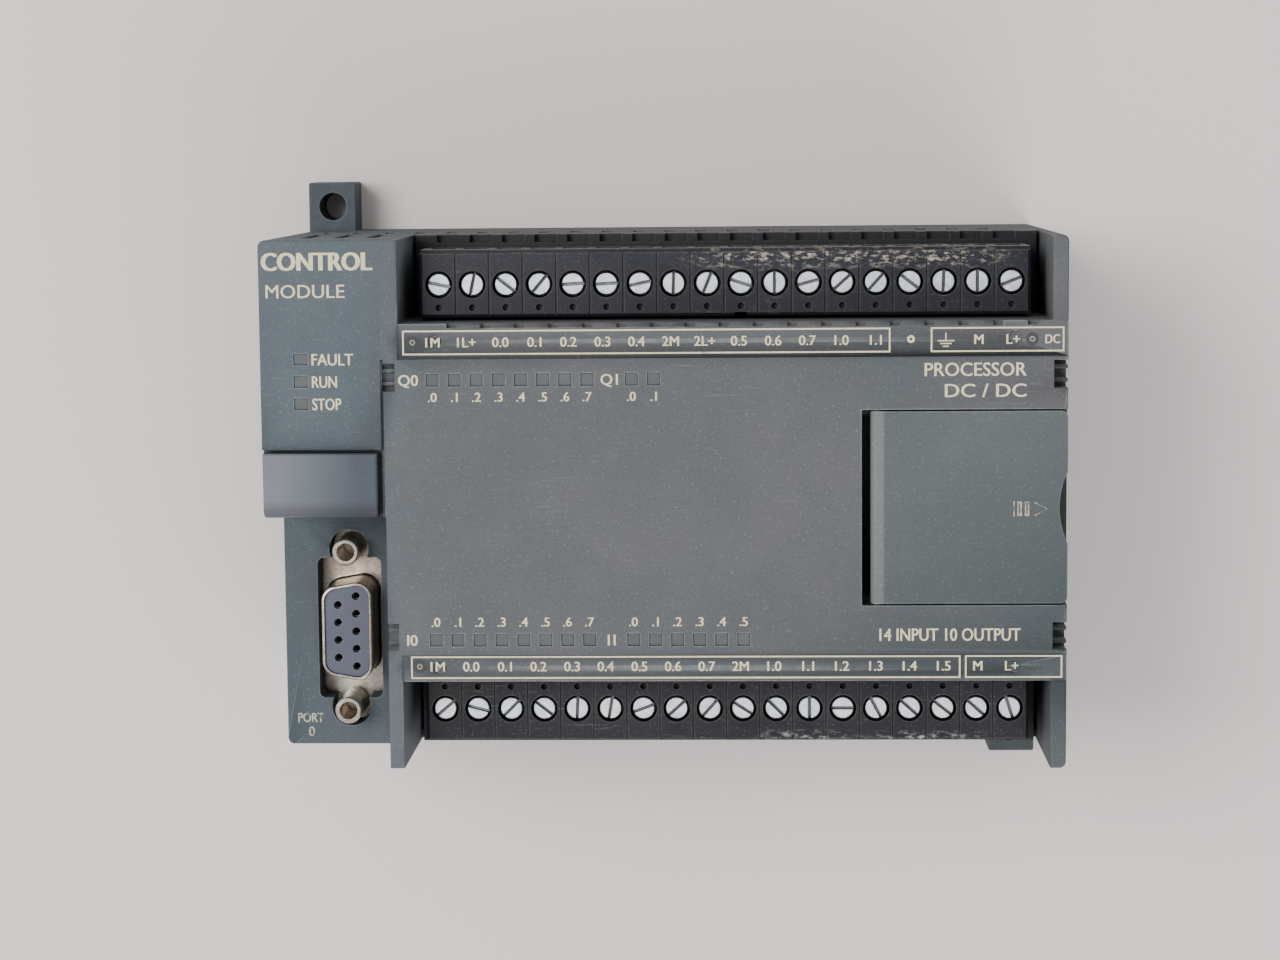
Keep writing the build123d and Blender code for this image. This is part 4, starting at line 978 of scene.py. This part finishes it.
# %% Print the column
print_sheet.word("CONTROL", -51.4, 36.85, 2.7, panel_z, width=16.4, bold=0.16)
print_sheet.word("MODULE", -53.2, 32.4, 2.0, panel_z, width=11.8, bold=0.02)
status_left = -52.4
for words, y, width in zip(("FAULT", "RUN", "STOP"), status_lamps, (6.2, 3.7, 4.3)):
    print_sheet.word(words, status_left + width / 2, y, 1.75, panel_z, width=width)
print_sheet.make("printed_legends", cream_ink, "module")

# %% [markdown]
# ### Worn marks
#
# The port's name and the picture on the door have been rubbed by plugs and thumbs, so they are
# printed with the paler, patchier ink. The door's picture rides with the door.

# %% Print the port's name and the door's picture
corner_z = 42.4
port_text = 1.5
port_sheet = InkSheet()
port_sheet.word("PORT", -56.6, -35.8, port_text, corner_z, width=4.0)
port_sheet.word("0", -56.5, -38.0, port_text, corner_z)
port_sheet.make("printed_port_name", worn_ink, "module")

door_sheet = InkSheet()
door_sheet.bar(52.2, 52.34, -1.85, 0.45, panel_z)
for x, line in ((53.1, 0.26), (54.2, 0.22)):
    door_sheet.frame(x - 0.22, x + 0.22, -1.65, 0.25, line, panel_z)
# An arrow of two strokes that meet in a tip at the right.
tip_x, tip_y = 57.2, -0.7
root_x, rise, stroke = 55.3, 0.95, 0.08
for side, drop in ((-1, stroke), (1, 0)):
    root_y = tip_y + side * rise
    corners = [
        (root_x, root_y - stroke - drop),
        (tip_x, tip_y - drop),
        (tip_x, tip_y + stroke - drop),
        (root_x, root_y + stroke - drop),
    ]
    door_sheet.plate(corners, panel_z)
door_sheet.make("printed_door_mark", worn_ink, "door")

# %% [markdown]
# ### Screw recesses
#
# The strips have screws that sit in round recesses. A darker disc is painted shade of each recess,
# with a paler ring in its middle. They are as flat as the ink, so they are made in the same way.

# %% Painted recess shade on the strips
recess_shade_grey = moulded(
    "recess_shade_grey",
    colour_of(52, 52, 50),
    colour_of(66, 66, 63),
    colour_of(110, 112, 110),
    colour_of(48, 46, 42),
)
recess_ring_pale = moulded(
    "recess_ring_pale",
    colour_of(138, 138, 132),
    colour_of(158, 156, 148),
    colour_of(180, 180, 174),
    colour_of(90, 86, 80),
)
recess_radius = 0.95
gate_spots = InkSheet()
gate_rings = InkSheet()
for x, y in ((-37.0, lower_y), (-37.3, upper_y), (54.9, upper_y)):
    gate_spots.plate(circle(x, y, recess_radius), strip_z, thickness=0.5)
    gate_rings.ring(x, y, 0.42, 0.22, strip_z + 0.01)
gate_spots.make("gate_spots", recess_shade_grey, "module")
gate_rings.make("gate_rings", recess_ring_pale, "module")

# %% [markdown]
# ## The table top
#
# A plain pale sheet under the module. It isn't part of the object.

# %% Table
table_reach = 1.6
table_corners = [(x, y, 0) for x, y in rectangle(0, 0, 0, 0, table_reach)]
table_mesh = bpy.data.meshes.new("table_top")
table_mesh.from_pydata(table_corners, [], [(0, 1, 2, 3)])
table_finish, table_tree, table_shader, table_place = start_finish("pale_table")
table_clouds = clouds(table_tree, table_place, 6, 3)
table_deep, table_pale = colour_of(221, 213, 209), colour_of(227, 219, 215)
table_tone = blend_colours(table_tree, table_clouds, table_deep, table_pale)
table_tree.links.new(table_tone, table_shader.inputs["Base Color"])
table_shader.inputs["Roughness"].default_value = 0.7
table_mesh.materials.append(table_finish)
table = bpy.data.objects.new("table_top", table_mesh)
bpy.context.scene.collection.objects.link(table)
